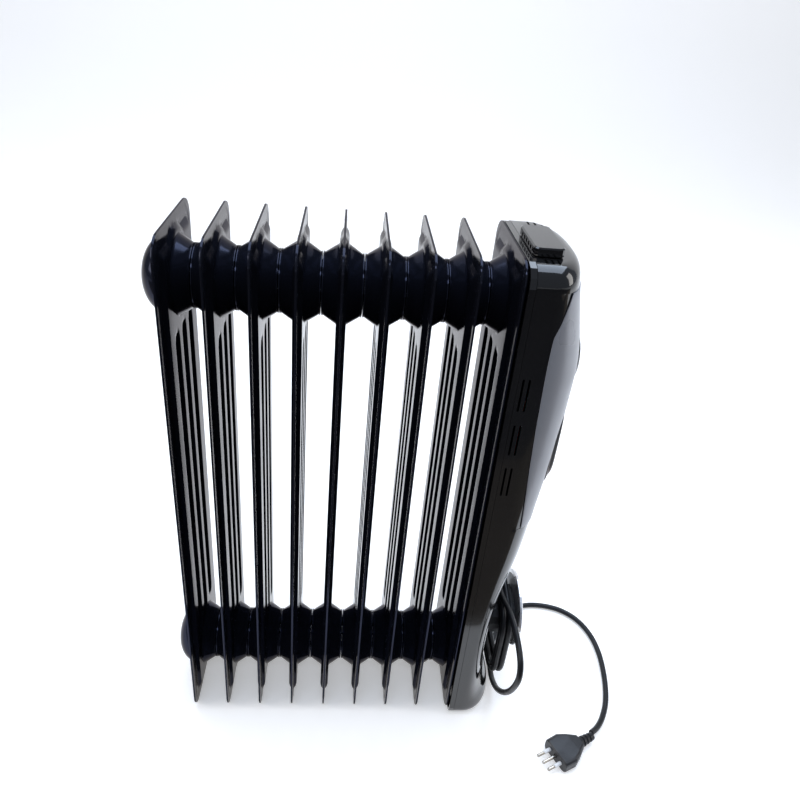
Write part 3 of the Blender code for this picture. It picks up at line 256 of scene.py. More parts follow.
def made_mesh(name, points, faces, look, smooth=True):
    mesh = bpy.data.meshes.new(name)
    mesh.from_pydata([tuple(p) for p in points], [], faces)
    shape = bmesh.new()
    shape.from_mesh(mesh)
    bmesh.ops.remove_doubles(shape, verts=shape.verts, dist=MERGE_DISTANCE)
    bmesh.ops.recalc_face_normals(shape, faces=shape.faces)
    shape.to_mesh(mesh)
    shape.free()
    if smooth:
        mesh.shade_smooth()
        mesh.set_sharp_from_angle(angle=SHARP_ANGLE)
    mesh.materials.append(look)
    return mesh


def shown(name, mesh, *replaced):
    """A piece of the heater that stands for the named CAD nodes."""
    made = helper(name, mesh)
    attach(made, BODY)
    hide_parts(*replaced)
    return made


def at(x):
    """A place along X, given from the middle fin, in the part's frame."""
    return x - SHIFT


def ease(value):
    """A smooth step from 0 to 1."""
    value = np.clip(value, 0, 1)
    return value * value * (3 - 2 * value)


def spun(profile, centre, steps, closed=False):
    """Points and faces of a profile of (radius, x) spun about a line along X."""
    points = []
    for k in range(steps):
        turn = 2 * math.pi * k / steps
        for radius, x in profile:
            y, z = radius * math.cos(turn), radius * math.sin(turn)
            points.append((centre[0] + x, centre[1] + y, centre[2] + z))
    faces = []
    count = len(profile)
    for k in range(steps):
        here, there = k * count, (k + 1) % steps * count
        for i in range(count if closed else count - 1):
            j = (i + 1) % count
            faces.append((here + i, here + j, there + j, there + i))
    return points, faces


def lofted(sections):
    """Points and faces of a closed solid through sections of as many points each."""
    count = len(sections[0])
    points = [point for section in sections for point in section]
    faces = [tuple(range(count)), tuple(range(len(points) - count, len(points)))]
    for level in range(len(sections) - 1):
        low = level * count
        for i in range(count):
            j = (i + 1) % count
            faces.append((low + i, low + j, low + count + j, low + count + i))
    return points, faces


# ---- Cord -------------------------------------------------------------------------------

CORD_DIAMETER = 0.007
ROUTE_STEP = 0.004
HANK_X = (0.2060, 0.2210)
HANK_HALF_WIDTH = 0.050
HANK_LOW = 0.026
HANK_HIGH = 0.1455
HANK_CORNER = 0.036
LAYER = 0.0075
LEAD_ROUTE = (
    (0.180, 0.1043, 0.045),
    (0.1805, 0.115, 0.0455),
    (0.188, 0.129, 0.051),
    (0.201, 0.133, 0.063),
    (0.211, 0.127, 0.082),
    (0.2140, 0.111, 0.104),
    (0.2145, 0.088, 0.126),
    (0.2155, 0.062, 0.142),
    (0.2165, 0.040, 0.1480),
    (0.2172, 0.016, 0.1450),
)
TAIL_ROUTE = (
    (0.2105, -0.012, 0.1435),
    (0.2125, -0.041, 0.1490),
    (0.2140, -0.071, 0.1500),
    (0.2145, -0.095, 0.1465),
    (0.2150, -0.110, 0.1370),
    (0.2150, -0.1145, 0.1200),
    (0.2150, -0.106, 0.0930),
    (0.2150, -0.091, 0.0655),
    (0.2150, -0.071, 0.0400),
    (0.2155, -0.048, 0.0190),
    (0.2165, -0.022, 0.0060),
    (0.2190, 0.004, 0.0037),
    (0.2260, 0.029, 0.0037),
    (0.2370, 0.054, 0.0037),
    (0.2510, 0.077, 0.0037),
    (0.2670, 0.093, 0.0037),
    (0.2850, 0.1010, 0.0037),
    (0.3040, 0.1025, 0.0037),
    (0.3230, 0.0995, 0.0037),
    (0.3400, 0.0925, 0.0037),
    (0.3550, 0.0800, 0.0037),
    (0.3656, 0.0630, 0.0037),
    (0.3720, 0.0420, 0.0037),
    (0.3738, 0.0180, 0.0037),
    (0.3720, -0.0060, 0.0037),
    (0.3674, -0.0325, 0.0037),
    (0.3600, -0.0580, 0.0037),
    (0.3495, -0.0790, 0.0040),
    (0.3380, -0.0945, 0.0060),
    (0.3269, -0.1040, 0.0080),
)
TURNS = ((1, 0), (1, 1), (0, 1), (0, 0))   # (front or back column, outer or inner layer)
TURN_POINTS = 36
LEAD_JOINS = 4                             # the first turn's point that the lead runs into
TAIL_LEAVES = 2                            # points left out where the last turn becomes the tail
CROSSING_STARTS = 0.72                     # share of a turn after which it crosses to the next


def hank_point(share, inset):
    """A point on the winding's rounded outline, from the top middle towards -Y."""
    half = HANK_HALF_WIDTH - inset
    low, high = HANK_LOW + inset, HANK_HIGH - inset
    corner = HANK_CORNER - inset
    across, tall = 2 * (half - corner), high - low - 2 * corner
    quarter = math.pi / 2 * corner
    run = share * (2 * across + 2 * tall + 4 * quarter)
    legs = (
        ("line", across / 2, (0, high), (-1, 0)),
        ("turn", quarter, (-half + corner, high - corner), 90),
        ("line", tall, (-half, high - corner), (0, -1)),
        ("turn", quarter, (-half + corner, low + corner), 180),
        ("line", across, (-half + corner, low), (1, 0)),
        ("turn", quarter, (half - corner, low + corner), 270),
        ("line", tall, (half, low + corner), (0, 1)),
        ("turn", quarter, (half - corner, high - corner), 0),
        ("line", across / 2, (half - corner, high), (-1, 0)),
    )
    for kind, length, start, heading in legs:
        if run <= length or kind == "line" and heading == (-1, 0) and start[0] > 0:
            break
        run -= length
    if kind == "line":
        return start[0] + heading[0] * run, start[1] + heading[1] * run
    angle = math.radians(heading) + run / corner
    return start[0] + corner * math.cos(angle), start[1] + corner * math.sin(angle)


def winding():
    """The turns on the reel, each easing across to the next at its end."""
    columns = (HANK_X[0] + LAYER / 2, HANK_X[1] - LAYER / 2)
    points = []
    for number, (column, layer) in enumerate(TURNS):
        following = TURNS[min(number + 1, len(TURNS) - 1)]
        first = LEAD_JOINS if number == 0 else 0
        last = TURN_POINTS - (TAIL_LEAVES if number == len(TURNS) - 1 else 0)
        for k in range(first, last):
            share = k / TURN_POINTS
            crossed = float(ease((share - CROSSING_STARTS) / (1 - CROSSING_STARTS)))
            x = columns[column] + (columns[following[0]] - columns[column]) * crossed
            depth = LAYER * (0.5 + layer + (following[1] - layer) * crossed)
            y, z = hank_point(share, depth)
            points.append((x, y, z))
    return points


def moved(route):
    return [Vector((at(x), y, z)) for x, y, z in route]


def smooth_route(points, step):
    """A smooth curve through the points, in steps of about one length."""
    ends = (2 * points[0] - points[1], 2 * points[-1] - points[-2])
    knots = [ends[0], *points, ends[1]]
    route = []
    for a, b, c, d in zip(knots, knots[1:], knots[2:], knots[3:]):
        pieces = max(1, round((c - b).length / step))
        for i in range(pieces):
            t = i / pieces
            route.append(
                0.5
                * (
                    2 * b
                    + (c - a) * t
                    + (2 * a - 5 * b + 4 * c - d) * t * t
                    + (3 * b - a - 3 * c + d) * t**3
                )
            )
    route.append(knots[-2])
    return route


path = smooth_route(moved([*LEAD_ROUTE, *winding(), *TAIL_ROUTE]), ROUTE_STEP)
cord_curve = bpy.data.curves.new("mains_cord", "CURVE")
cord_curve.dimensions = "3D"
cord_curve.bevel_depth = CORD_DIAMETER / 2
cord_curve.bevel_resolution = 6
cord_curve.use_fill_caps = True
spline = cord_curve.splines.new("POLY")
spline.points.add(len(path) - 1)
for point, place in zip(spline.points, path):
    point.co = (*place, 1)
spline.use_smooth = True
cord_curve.materials.append(CORD)
cord = shown("mains_cord", cord_curve, "cord_lead_in", "cord_hank", "cord_tail")

# ---- Fins -------------------------------------------------------------------------------

FIN_COUNT = 9
FIN_PITCH = 0.038
FIRST_FIN = -0.152
FIN_WIDTH = 0.144
FIN_HEIGHT = 0.581
FIN_CORNER = 0.020
HALF_SHEET = 0.00095
PAD_RISE = 0.0035
PAD_INSET = 0.0172       # from the fin's edge to the foot of its raised pad
PAD_SLOPE = 0.0042
LOWER_HEADER = 0.0547
UPPER_HEADER = 0.5263
HEADERS = (LOWER_HEADER, UPPER_HEADER)
HEADER_RADIUS = 0.0365
VALLEY_RADIUS = 0.0287
HEADER_GAP = 0.0003
REACH = FIN_PITCH / 2 - HEADER_GAP
STUB_LENGTH = 0.0163
STUB_RADIUS = 0.026
STUB_BORE = 0.022
SKIRT_RADIUS = 0.0470
SKIRT_SLOPE = 0.0060
GROOVE_END = 0.0047      # the round end of a groove
GROOVE_LOW = LOWER_HEADER + 0.043 + GROOVE_END
GROOVE_HIGH = UPPER_HEADER - 0.049 - GROOVE_END
GROOVE_YS = (-0.028, 0.0, 0.028)
GROOVE_HALF_WIDTH = 0.0046
GROOVE_SLOPE = 0.0040
SEAM_RISE = 0.0005
SEAM_INSET = 0.0075
SEAM_WIDTH = 0.0011
RIM = 0.0004             # the sheet's rounded edge
COLUMNS = 104

def rounded_distance(y, z, half_width, low, high, corner):
    """How far inside a rounded rectangle each point is."""
    across = np.abs(y) - (half_width - corner)
    up = np.abs(z - (low + high) / 2) - ((high - low) / 2 - corner)
    outside = np.hypot(np.maximum(across, 0), np.maximum(up, 0))
    return corner - outside - np.minimum(np.maximum(across, up), 0)


def fin_relief(y, z):
    """Height of the pressed sheet above the fin's middle plane."""
    edge = rounded_distance(y, z, FIN_WIDTH / 2, 0, FIN_HEIGHT, FIN_CORNER)
    rise = PAD_RISE * ease((edge - PAD_INSET) / PAD_SLOPE)
    for middle in GROOVE_YS:
        gap = np.hypot(y - middle, z - np.clip(z, GROOVE_LOW, GROOVE_HIGH))
        rise *= ease((gap - GROOVE_HALF_WIDTH) / GROOVE_SLOPE)
    for header in HEADERS:
        skirt = PAD_RISE * ease((SKIRT_RADIUS - np.hypot(y, z - header)) / SKIRT_SLOPE)
        rise = np.maximum(rise, skirt)
    rise += SEAM_RISE * np.exp(-(((edge - SEAM_INSET) / SEAM_WIDTH) ** 2))
    return HALF_SHEET + rise


def row_half_width(z):
    near = np.minimum(z, FIN_HEIGHT - z)
    drop = np.clip(FIN_CORNER - near, 0, FIN_CORNER)
    return FIN_WIDTH / 2 - FIN_CORNER + np.sqrt(FIN_CORNER**2 - drop**2)


corner_rows = FIN_CORNER * (1 - np.cos(np.linspace(0, math.pi / 2, 9)[:-1]))
rows = np.concatenate(
    [
        corner_rows,
        np.linspace(FIN_CORNER, 0.13, 34),
        np.linspace(0.13, 0.45, 40)[1:-1],
        np.linspace(0.45, FIN_HEIGHT - FIN_CORNER, 34),
        FIN_HEIGHT - corner_rows[::-1],
    ]
)


def sheet_side(side):
    """A grid of points and faces over one pressed face of the fin."""
    points, faces = [], []
    grid = np.linspace(-1, 1, COLUMNS)
    for z in rows:
        half = float(row_half_width(z)) - RIM
        ys = grid * half
        xs = side * fin_relief(ys, np.full_like(ys, z))
        points += [(x, y, z) for x, y in zip(xs, ys)]
    for r in range(len(rows) - 1):
        for c in range(COLUMNS - 1):
            i = r * COLUMNS + c
            faces.append((i, i + 1, i + COLUMNS + 1, i + COLUMNS))
    return points, faces


def rim_points():
    """The numbers of a grid's outer points, in order round the fin."""
    ring = [r * COLUMNS for r in range(len(rows))]
    ring += [(len(rows) - 1) * COLUMNS + c for c in range(1, COLUMNS)]
    ring += [r * COLUMNS + COLUMNS - 1 for r in range(len(rows) - 2, -1, -1)]
    return ring + list(range(COLUMNS - 2, 0, -1))


def added(points, faces, more, quads):
    """Appends a shape to the lists of points and faces."""
    start = len(points)
    points += more
    faces += [tuple(start + i for i in quad) for quad in quads]


def header_cone(side, reach):
    """From the skirt down to the valley between two fins, with half the weld bead."""
    top = HALF_SHEET + PAD_RISE
    return [
        (HEADER_RADIUS + 0.0022, side * (top - 0.0004)),
        (HEADER_RADIUS + 0.0008, side * (top + 0.0004)),
        (HEADER_RADIUS - 0.0002, side * (top + 0.0018)),
        (VALLEY_RADIUS + 0.0014, side * (reach - 0.0030)),
        (VALLEY_RADIUS + 0.0003, side * (reach - 0.0016)),
        (VALLEY_RADIUS + 0.0011, side * (reach - 0.0010)),
        (VALLEY_RADIUS + 0.0012, side * (reach - 0.0003)),
        (VALLEY_RADIUS - 0.0002, side * reach),
        (VALLEY_RADIUS - 0.0060, side * reach),
    ]


def fin_mesh(name, left, right, stub):
    """A fin with header cones that reach left and right, and pipe stubs on the last fin."""
    points, faces = [], []
    for side in (-1, 1):
        added(points, faces, *sheet_side(side))
    ring = rim_points()
    back = len(rows) * COLUMNS
    middle = len(points)
    for i in ring:
        _, y, z = points[i]
        half = float(row_half_width(z))
        points.append((0.0, y * half / max(half - RIM, 1e-6), min(max(z, 0.0), FIN_HEIGHT)))
    count = len(ring)
    for k in range(count):
        j = (k + 1) % count
        faces.append((ring[k], ring[j], middle + j, middle + k))
        faces.append((middle + k, middle + j, back + ring[j], back + ring[k]))
    for height in HEADERS:
        for side, reach in ((-1, left), (1, right)):
            if reach:
                added(points, faces, *spun(header_cone(side, reach), (0, 0, height), 64))
        if stub:
            pipe = [(STUB_RADIUS, 0), (STUB_RADIUS, stub), (STUB_BORE, stub), (STUB_BORE, 0)]
            added(points, faces, *spun(pipe, (0, 0, height), 48))
    return made_mesh(name, points, faces, ENAMEL)


middle_mesh = fin_mesh("fin_sheet", REACH, REACH, 0)
fin_meshes = [fin_mesh("first_fin_sheet", 0, REACH, 0)]
fin_meshes += [middle_mesh] * (FIN_COUNT - 2)
fin_meshes.append(fin_mesh("last_fin_sheet", REACH, 0, STUB_LENGTH))
for index, mesh in enumerate(fin_meshes):
    fin = helper(f"pressed_fin_{index + 1}", mesh)
    fin.location.x = FIRST_FIN + index * FIN_PITCH - SHIFT
    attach(fin, BODY)
    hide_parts(f"radiator_fin_{index + 1}")

CAP_RADIUS = 0.036
CAP_DEPTH = 0.0229
CAP_SEAT = 0.0045        # from the first fin's middle to the cap's open face
CAP_FULLNESS = 0.9       # below 1 the dome is fuller than a half ellipse
CAP_INSIDE = (0.955, 0.93)   # the inner wall as shares of the outer radius and depth
for label, height in (("lower", LOWER_HEADER), ("upper", UPPER_HEADER)):
    dome = [
        (CAP_RADIUS * math.cos(t) ** CAP_FULLNESS, -CAP_DEPTH * math.sin(t))
        for t in np.linspace(0, math.pi / 2 - 0.001, 22)
    ]
    inner = [(r * CAP_INSIDE[0], x * CAP_INSIDE[1]) for r, x in dome[::-1]]
    face = FIRST_FIN - CAP_SEAT - HEADER_GAP - SHIFT
    points, faces = spun(dome + inner, (face, 0, height), 72, closed=True)
    mesh = made_mesh(f"{label}_dome", points, faces, ENAMEL)
    shown(f"{label}_dome", mesh, f"{label}_header_cap")

# ---- Housing ----------------------------------------------------------------------------

SHELL_BACK = 0.1605
HALF_WIDTH = 0.0755
SHELL_TOP = 0.580
SHELL_LOW = 0.0048
TOP_FILLET = 0.018
BOTTOM_FILLET = 0.012
ROUNDNESS = 2.35         # 2 would make the front's plan an ellipse
CORNER_X = (0.168, 0.176)    # where the flank turns into the front, at the floor and the panel
FLANK_X = 0.166
WALL = 0.0025
ROOM_PAST_BACK = 0.004
FIT = 0.0003             # clearance round a piece that sits in an opening
INSIDE_LEVELS = (-0.01, 0.02, 0.05, 0.13, 0.20, 0.26, 0.34, 0.42, 0.47, 0.50, 0.54, 0.565, 0.577)
PANEL_LOW = 0.3005
PANEL_HIGH = 0.5585
PANEL_SINK = 0.0022
PANEL_PROUD = 0.0006     # how far the panel stands past the shell's surface
PANEL_BACK_SPREAD = 0.0004
PANEL_BEVEL = 0.0004
FRONT_PROFILE = (
    (0.000, 0.2100),
    (0.010, 0.2102),
    (0.018, 0.2080),
    (0.025, 0.2042),
    (0.034, 0.2003),
    (0.050, 0.1968),
    (0.089, 0.1942),
    (0.130, 0.1930),
    (0.183, 0.1976),
    (0.222, 0.2050),
    (0.241, 0.2094),
    (0.263, 0.2134),
    (0.284, 0.2158),
    (0.325, 0.2197),
    (0.364, 0.2239),
    (0.401, 0.2264),
    (0.435, 0.2278),
    (0.468, 0.2284),
    (0.484, 0.2274),
    (0.499, 0.2252),
    (0.524, 0.2195),
    (0.547, 0.2140),
    (0.561, 0.2112),
    (0.570, 0.2095),
    (0.5755, 0.2072),
    (0.5790, 0.2030),
    (0.5800, 0.1985),
)
PANEL_EDGE = (
    (0.299, 0.1945),
    (0.341, 0.1912),
    (0.384, 0.1880),
    (0.439, 0.1852),
    (0.501, 0.1836),
    (0.517, 0.1840),
    (0.530, 0.1880),
    (0.544, 0.1915),
    (0.559, 0.1950),
)


def table_curve(table, z):
    """A smooth curve through a table of points, without overshoot."""
    places = [p[0] for p in table]
    values = [p[1] for p in table]
    k = max(0, min(len(places) - 2, int(np.searchsorted(places, z)) - 1))
    span = places[k + 1] - places[k]
    slopes = []
    for i in (k, k + 1):
        if 0 < i < len(places) - 1:
            before = (values[i] - values[i - 1]) / (places[i] - places[i - 1])
            after = (values[i + 1] - values[i]) / (places[i + 1] - places[i])
            slopes.append(0 if before * after <= 0 else 2 * before * after / (before + after))
        else:
            slopes.append((values[k + 1] - values[k]) / span)
    t = min(max((z - places[k]) / span, 0), 1)
    return (
        values[k] * (1 + 2 * t) * (1 - t) ** 2
        + slopes[0] * span * t * (1 - t) ** 2
        + values[k + 1] * t * t * (3 - 2 * t)
        + slopes[1] * span * t * t * (t - 1)
    )


def half_width(z):
    if z < BOTTOM_FILLET:
        return HALF_WIDTH - BOTTOM_FILLET + math.sqrt(BOTTOM_FILLET**2 - (BOTTOM_FILLET - z) ** 2)
    rise = z - (SHELL_TOP - TOP_FILLET)
    if rise > 0:
        return HALF_WIDTH - TOP_FILLET + math.sqrt(max(TOP_FILLET**2 - rise**2, 0))
    return HALF_WIDTH


def plan_arc(z, inset, sink, count, start=0.0):
    """The front's curve at one height, from a start along X, inset from the outer surface."""
    width = half_width(z) - inset
    reach = table_curve(FRONT_PROFILE, z) - inset - sink
    corner = float(np.interp(z, (0, PANEL_LOW), CORNER_X))
    depth = reach - corner
    limit = math.acos(min(1.0, (max(start - corner, 0) / depth)) ** (ROUNDNESS / 2))
    points = []
    for turn in np.linspace(-limit, limit, count):
        across = width * math.copysign(abs(math.sin(turn)) ** (2 / ROUNDNESS), turn)
        along = depth * max(math.cos(turn), 0) ** (2 / ROUNDNESS)
        points.append((corner + along - SHIFT, across, z))
    return points


def housing_section(z, inset, sink, back, count=72):
    width = half_width(z) - inset
    front = plan_arc(z, inset, sink, count)
    sides = [(back - SHIFT, -width, z), (FLANK_X - SHIFT, -width, z)]
    return sides + front + [(FLANK_X - SHIFT, width, z), (back - SHIFT, width, z)]


def heights(low, high, step):
    count = max(2, int(round((high - low) / step)))
    return sorted({*np.linspace(low, high, count + 1).round(6)})


FILLET = [SHELL_TOP - TOP_FILLET * (1 - math.sin(t)) for t in np.linspace(0, math.pi / 2, 10)]
levels = [(z, 0.0) for z in heights(SHELL_LOW, 0.05, 0.0025)]
levels += [(z, 0.0) for z in heights(0.055, PANEL_LOW - 2 * FIT, 0.007)]
levels += [(z, PANEL_SINK) for z in heights(PANEL_LOW - FIT, PANEL_HIGH + FIT, 0.007)]
levels += [(z, 0.0) for z in heights(PANEL_HIGH + 2 * FIT, FILLET[0] - 0.0005, 0.004)]
levels += [(z, 0.0) for z in FILLET]
outside = [housing_section(z, 0, sink, SHELL_BACK) for z, sink in levels]
inside = []
for level in INSIDE_LEVELS:
    height, back = max(level, BOTTOM_FILLET), SHELL_BACK - ROOM_PAST_BACK
    section = housing_section(height, WALL, PANEL_SINK, back, 24)
    inside.append([(x, y, level) for x, y, _ in section])


def carved(name, sections, tools, look, replaced, bevel=0.0):
    """A solid through the sections, with the tools cut out of it and nothing left over."""
    mesh = made_mesh(name, *lofted(sections), look)
    part = helper(name, mesh)
    for tool in tools:
        step = part.modifiers.new(tool.name, "BOOLEAN")
        step.operation = "DIFFERENCE"
        step.solver = "EXACT"
        step.object = tool
    if bevel:
        edge = part.modifiers.new("edge", "BEVEL")
        edge.width = bevel
        edge.segments = 2
        edge.limit_method = "ANGLE"
        edge.angle_limit = BEVEL_ANGLE
    graph = bpy.context.evaluated_depsgraph_get()
    final = bpy.data.meshes.new_from_object(part.evaluated_get(graph))
    bpy.data.objects.remove(part)
    final.shade_smooth()
    final.set_sharp_from_angle(angle=CARVED_SHARP_ANGLE)
    final.materials.clear()
    final.materials.append(look)
    return shown(name, final, replaced)


def circle(radius, a, b, steps):
    turns = np.linspace(0, 2 * math.pi, steps, endpoint=False)
    return [(a + radius * math.cos(t), b + radius * math.sin(t)) for t in turns]


def rounded_box(corner, half_a, half_b, a, b):
    """A rectangle's outline about (a, b), with round corners."""
    points = []
    for across, up, start in ((1, 1, 0), (-1, 1, 90), (-1, -1, 180), (1, -1, 270)):
        for t in np.linspace(math.radians(start), math.radians(start + 90), 6):
            place = a + across * (half_a - corner) + corner * math.cos(t)
            points.append((place, b + up * (half_b - corner) + corner * math.sin(t)))
    return points


def slot(half_a, half_b, a, b):
    return rounded_box(min(half_a, half_b), half_a, half_b, a, b)


AXIS_ORDER = {
    "X": lambda a, b, c: (c, a, b),
    "Y": lambda a, b, c: (a, c, b),
    "Z": lambda a, b, c: (a, b, c),
}


def cutter(name, sections):
    return helper(name, made_mesh(name, *lofted(sections), MATT, smooth=False))


def punch(name, loop, low, high, axis="X"):
    """A prism along X from a (y, z) loop, along Y from an (x, z) loop, or along Z from (x, y)."""
    order = AXIS_ORDER[axis]
    return cutter(name, [[order(a, b, c) for a, b in loop] for c in (low, high)])


SLOT_HALF_WIDTH = 0.001
SIDE_SLOT_XS = (0.1650, 0.1707)
SIDE_SLOT_LOWS = (0.345, 0.394, 0.443)
SIDE_SLOT_HALF_HEIGHT = 0.017
SIDE_SLOT_SPAN = (0.0695, 0.0775)
TOP_SLOTS = (
    ((0.177, 0.1835, 0.190), (0.046, 0.060)),
    ((0.170, 0.1755, 0.181), (-0.060, -0.050)),
)
TOP_SLOT_SPAN = (0.566, 0.583)
CONSOLE_Z = 0.3865
CONSOLE_HALF_WIDTH = 0.056
CONSOLE_HALF_HEIGHT = 0.0505
CONSOLE_SQUARENESS = 3.6
KNOB_Z = 0.469
KNOB_WELL_RADIUS = 0.0306
OUTSIDE_X = 0.240        # past the front of the housing
CONSOLE_GAP_X = 0.188
KNOB_WELL_X = 0.206
HUB_GAP = (0.0183, 0.0303, 0.0223, 0, 0.108)     # corner, half sizes, middle in Y and Z
HUB_GAP_SPAN = (0.180, 0.225)
GLAND_RADIUS = 0.0068
GLAND_X = 0.180
GLAND_Z = 0.045
GLAND_SPAN = (0.066, 0.085)


def squared_oval(half_y, half_z, middle, steps=120):
    """An oval with full corners, as a loop of (y, z) points."""
    power = 2 / CONSOLE_SQUARENESS
    loop = []
    for turn in np.linspace(0, 2 * math.pi, steps, endpoint=False):
        across = math.copysign(abs(math.cos(turn)) ** power, math.cos(turn))
        up = math.copysign(abs(math.sin(turn)) ** power, math.sin(turn))
        loop.append((half_y * across, middle + half_z * up))
    return loop


tools = [cutter("room", inside)]
for x in SIDE_SLOT_XS:
    for low in SIDE_SLOT_LOWS:
        middle = low + SIDE_SLOT_HALF_HEIGHT
        loop = slot(SLOT_HALF_WIDTH, SIDE_SLOT_HALF_HEIGHT, at(x), middle)
        for side in (-1, 1):
            span = sorted(side * y for y in SIDE_SLOT_SPAN)
            tools.append(punch("side_slot", loop, *span, axis="Y"))
for xs, (low, high) in TOP_SLOTS:
    for x in xs:
        loop = slot(SLOT_HALF_WIDTH, (high - low) / 2, at(x), (low + high) / 2)
        tools.append(punch("top_slot", loop, *TOP_SLOT_SPAN, axis="Z"))
console_loop = squared_oval(CONSOLE_HALF_WIDTH + FIT, CONSOLE_HALF_HEIGHT + FIT, CONSOLE_Z)
console_tool = punch("console_gap", console_loop, at(CONSOLE_GAP_X), at(OUTSIDE_X))
well_loop = circle(KNOB_WELL_RADIUS, 0, KNOB_Z, 96)
well_tool = punch("knob_well", well_loop, at(KNOB_WELL_X), at(OUTSIDE_X))
hub_tool = punch("hub_gap", rounded_box(*HUB_GAP), *map(at, HUB_GAP_SPAN))
gland_loop = circle(GLAND_RADIUS, at(GLAND_X), GLAND_Z, 32)
gland_tool = punch("gland_gap", gland_loop, *GLAND_SPAN, "Y")
tools += [console_tool, well_tool, hub_tool, gland_tool]
carved("moulded_shell", outside, tools, GLOSS, "housing_shell")


def panel_section(z):
    edge = table_curve(PANEL_EDGE, z)
    outer = plan_arc(z, -PANEL_PROUD, 0, 56, edge)
    inner = plan_arc(z, -PANEL_BACK_SPREAD, PANEL_SINK, 56, edge)
    return outer + inner[::-1]


panel_levels = heights(PANEL_LOW + FIT, PANEL_HIGH - FIT, 0.005)
panel_sections = [panel_section(z) for z in panel_levels]
openings = [console_tool, well_tool]
carved("glossy_panel", panel_sections, openings, PANEL, "front_panel", PANEL_BEVEL)
for tool in tools:
    bpy.data.objects.remove(tool)

# ---- Control console --------------------------------------------------------------------

CONSOLE_FRONT = 0.2286
CONSOLE_CURVE = 0.150
EDGE_DROP = 0.0048
EDGE_SHARE = 0.20
CONSOLE_BACK = 0.208
ROCKER_Y = 0.018
ROCKER_Z = 0.380
ROCKER_PIVOT_X = 0.2254
ROCKER_OPENING = (0.0008, 0.0073, 0.01115)      # corner and half sizes
ROCKER_FLOOR_X = 0.2172
PIVOT_RADIUS = 0.0015
PIVOT_REACH = 0.0088
LENS_RADIUS = 0.0038
LENS_Z = 0.416
LENS_FLOOR_X = 0.2232


def console_ring(share):
    """One ring of the console's crowned face, its softened edge falling away to the panel."""
    ring = []
    for y, z in squared_oval(CONSOLE_HALF_WIDTH * share, CONSOLE_HALF_HEIGHT * share, CONSOLE_Z):
        drop = EDGE_DROP * float(ease((share - 1 + EDGE_SHARE) / EDGE_SHARE))
        ring.append((at(CONSOLE_FRONT - y * y / (2 * CONSOLE_CURVE) - drop), y, z))
    return ring


back_ring = [(at(CONSOLE_BACK), y, z) for _, y, z in console_ring(1.0)]
shares = (*np.linspace(1, 0.7, 12), 0.5, 0.3, 0.1)
console_rings = [back_ring] + [console_ring(share) for share in shares]
cuts = []
for side in (-1, 1):
    y = side * ROCKER_Y
    opening = rounded_box(*ROCKER_OPENING, y, ROCKER_Z)
    cuts.append(punch("rocker_gap", opening, at(ROCKER_FLOOR_X), at(OUTSIDE_X)))
    pin_room = circle(PIVOT_RADIUS, at(ROCKER_PIVOT_X), ROCKER_Z, 24)
    cuts.append(punch("pivot_gap", pin_room, y - PIVOT_REACH, y + PIVOT_REACH, "Y"))
lens_loop = circle(LENS_RADIUS, 0, LENS_Z, 48)
cuts.append(punch("lens_gap", lens_loop, at(LENS_FLOOR_X), at(OUTSIDE_X)))
carved("moulded_console", console_rings, cuts, CONSOLE, "control_console")
for tool in cuts:
    bpy.data.objects.remove(tool)

# ---- Floor and light --------------------------------------------------------------------

FLOOR = Look("studio_floor", (0.86, 0.845, 0.825), 0.55)
FLOOR.tint((0.88, 0.865, 0.85), 3, 0.5).rough(0.5, 0.62, 8)
FLOOR.set("Emission Color", (1, 1, 1, 1)).set("Emission Strength", 0.36)
FLOOR_REACH = 6.0
FLOOR_DROP = 0.0002      # keeps the floor just under the fins' edges
SWEEP_START = 2.2
SWEEP_RADIUS = 1.2
WALL_TOP = 5.0
CARD_HEIGHT = 0.002
CARD_HALF_LENGTH = 3.0
# Darker floor in front of the view, for the fins and the housing to reflect.
CARDS = (
    ("near_card", (0.150, 0.122, 0.092), -0.62, -0.215),
    ("far_card", (0.055, 0.050, 0.050), -4.0, -0.62),
)
WORLD_COLOR = (0.56, 0.62, 0.74, 1)
WORLD_STRENGTH = 0.40

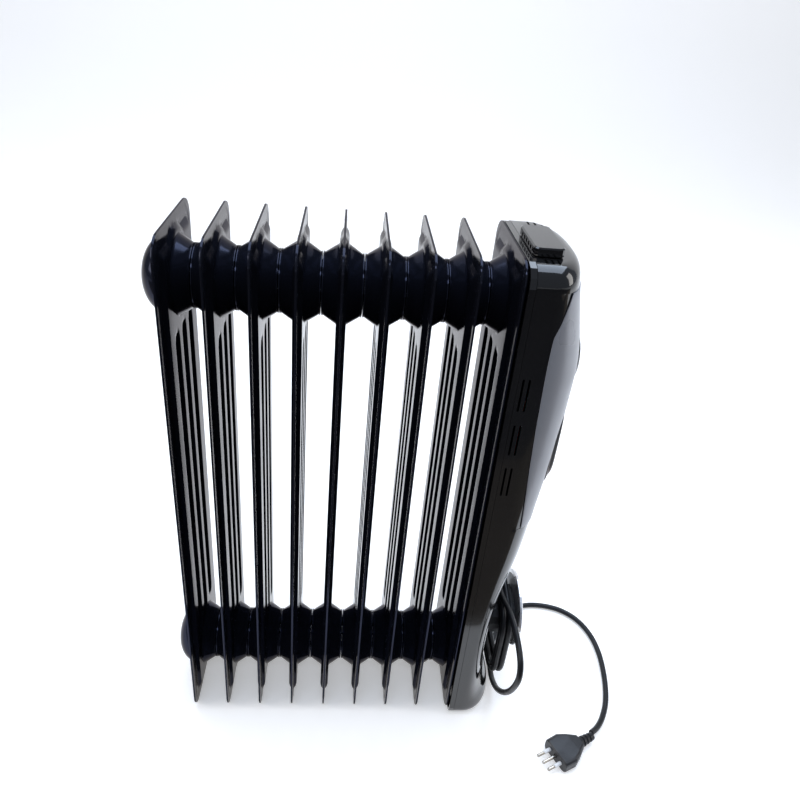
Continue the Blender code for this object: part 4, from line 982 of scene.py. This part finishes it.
sweep = [(-FLOOR_REACH, 0.0), (SWEEP_START, 0.0)]
for t in np.linspace(0.1, math.pi / 2, 16):
    out, up = SWEEP_RADIUS * math.sin(t), SWEEP_RADIUS * math.cos(t)
    sweep.append((SWEEP_START + out, SWEEP_RADIUS - up))
sweep.append((SWEEP_START + SWEEP_RADIUS, WALL_TOP))
floor_points = [(x, y, z - FLOOR_DROP) for x in (-FLOOR_REACH, FLOOR_REACH) for y, z in sweep]
count = len(sweep)
floor_faces = [(i, i + 1, count + i + 1, count + i) for i in range(count - 1)]
floor = helper("studio_floor", made_mesh("studio_floor", floor_points, floor_faces, FLOOR.made))
for label, color, far, near in CARDS:
    card_look = Look(label, color, 0.8)
    card_look.tint(tuple(c * 0.8 for c in color), 4, 0.8).rough(0.7, 0.9, 10)
    left, right = -CARD_HALF_LENGTH, CARD_HALF_LENGTH
    outline = ((left, far), (right, far), (right, near), (left, near))
    corners = [(x, y, CARD_HEIGHT) for x, y in outline]
    card = helper(label, made_mesh(label, corners, [(0, 1, 2, 3)], card_look.made))


def softbox(name, place, aim, size, power, color):
    lamp = bpy.data.lights.new(name, "AREA")
    lamp.shape = "RECTANGLE"
    lamp.size, lamp.size_y = size
    lamp.energy = power
    lamp.color = color
    lit = helper(name, lamp)
    lit.location = place
    lit.rotation_euler = (Vector(aim) - Vector(place)).to_track_quat("-Z", "Y").to_euler()


softbox("overhead", (0.1, 0.6, 2.4), (0.05, 0.1, 0.2), (2.6, 2.0), 64, (0.70, 0.82, 1.0))
softbox("left_fill", (-2.0, -0.6, 1.5), (0, 0, 0.3), (1.2, 1.6), 22, (1.0, 0.97, 0.93))
softbox("right_fill", (2.1, -0.2, 1.2), (0.15, 0, 0.3), (0.8, 1.6), 14, (1.0, 0.98, 0.95))
softbox("high_front", (-0.3, -1.5, 2.6), (0, 0, 0.45), (1.6, 0.5), 16, (0.72, 0.82, 1.0))
world = bpy.data.worlds.new("studio")
world.use_nodes = True
background = world.node_tree.nodes["Background"]
background.inputs["Color"].default_value = WORLD_COLOR
background.inputs["Strength"].default_value = WORLD_STRENGTH
bpy.context.scene.world = world
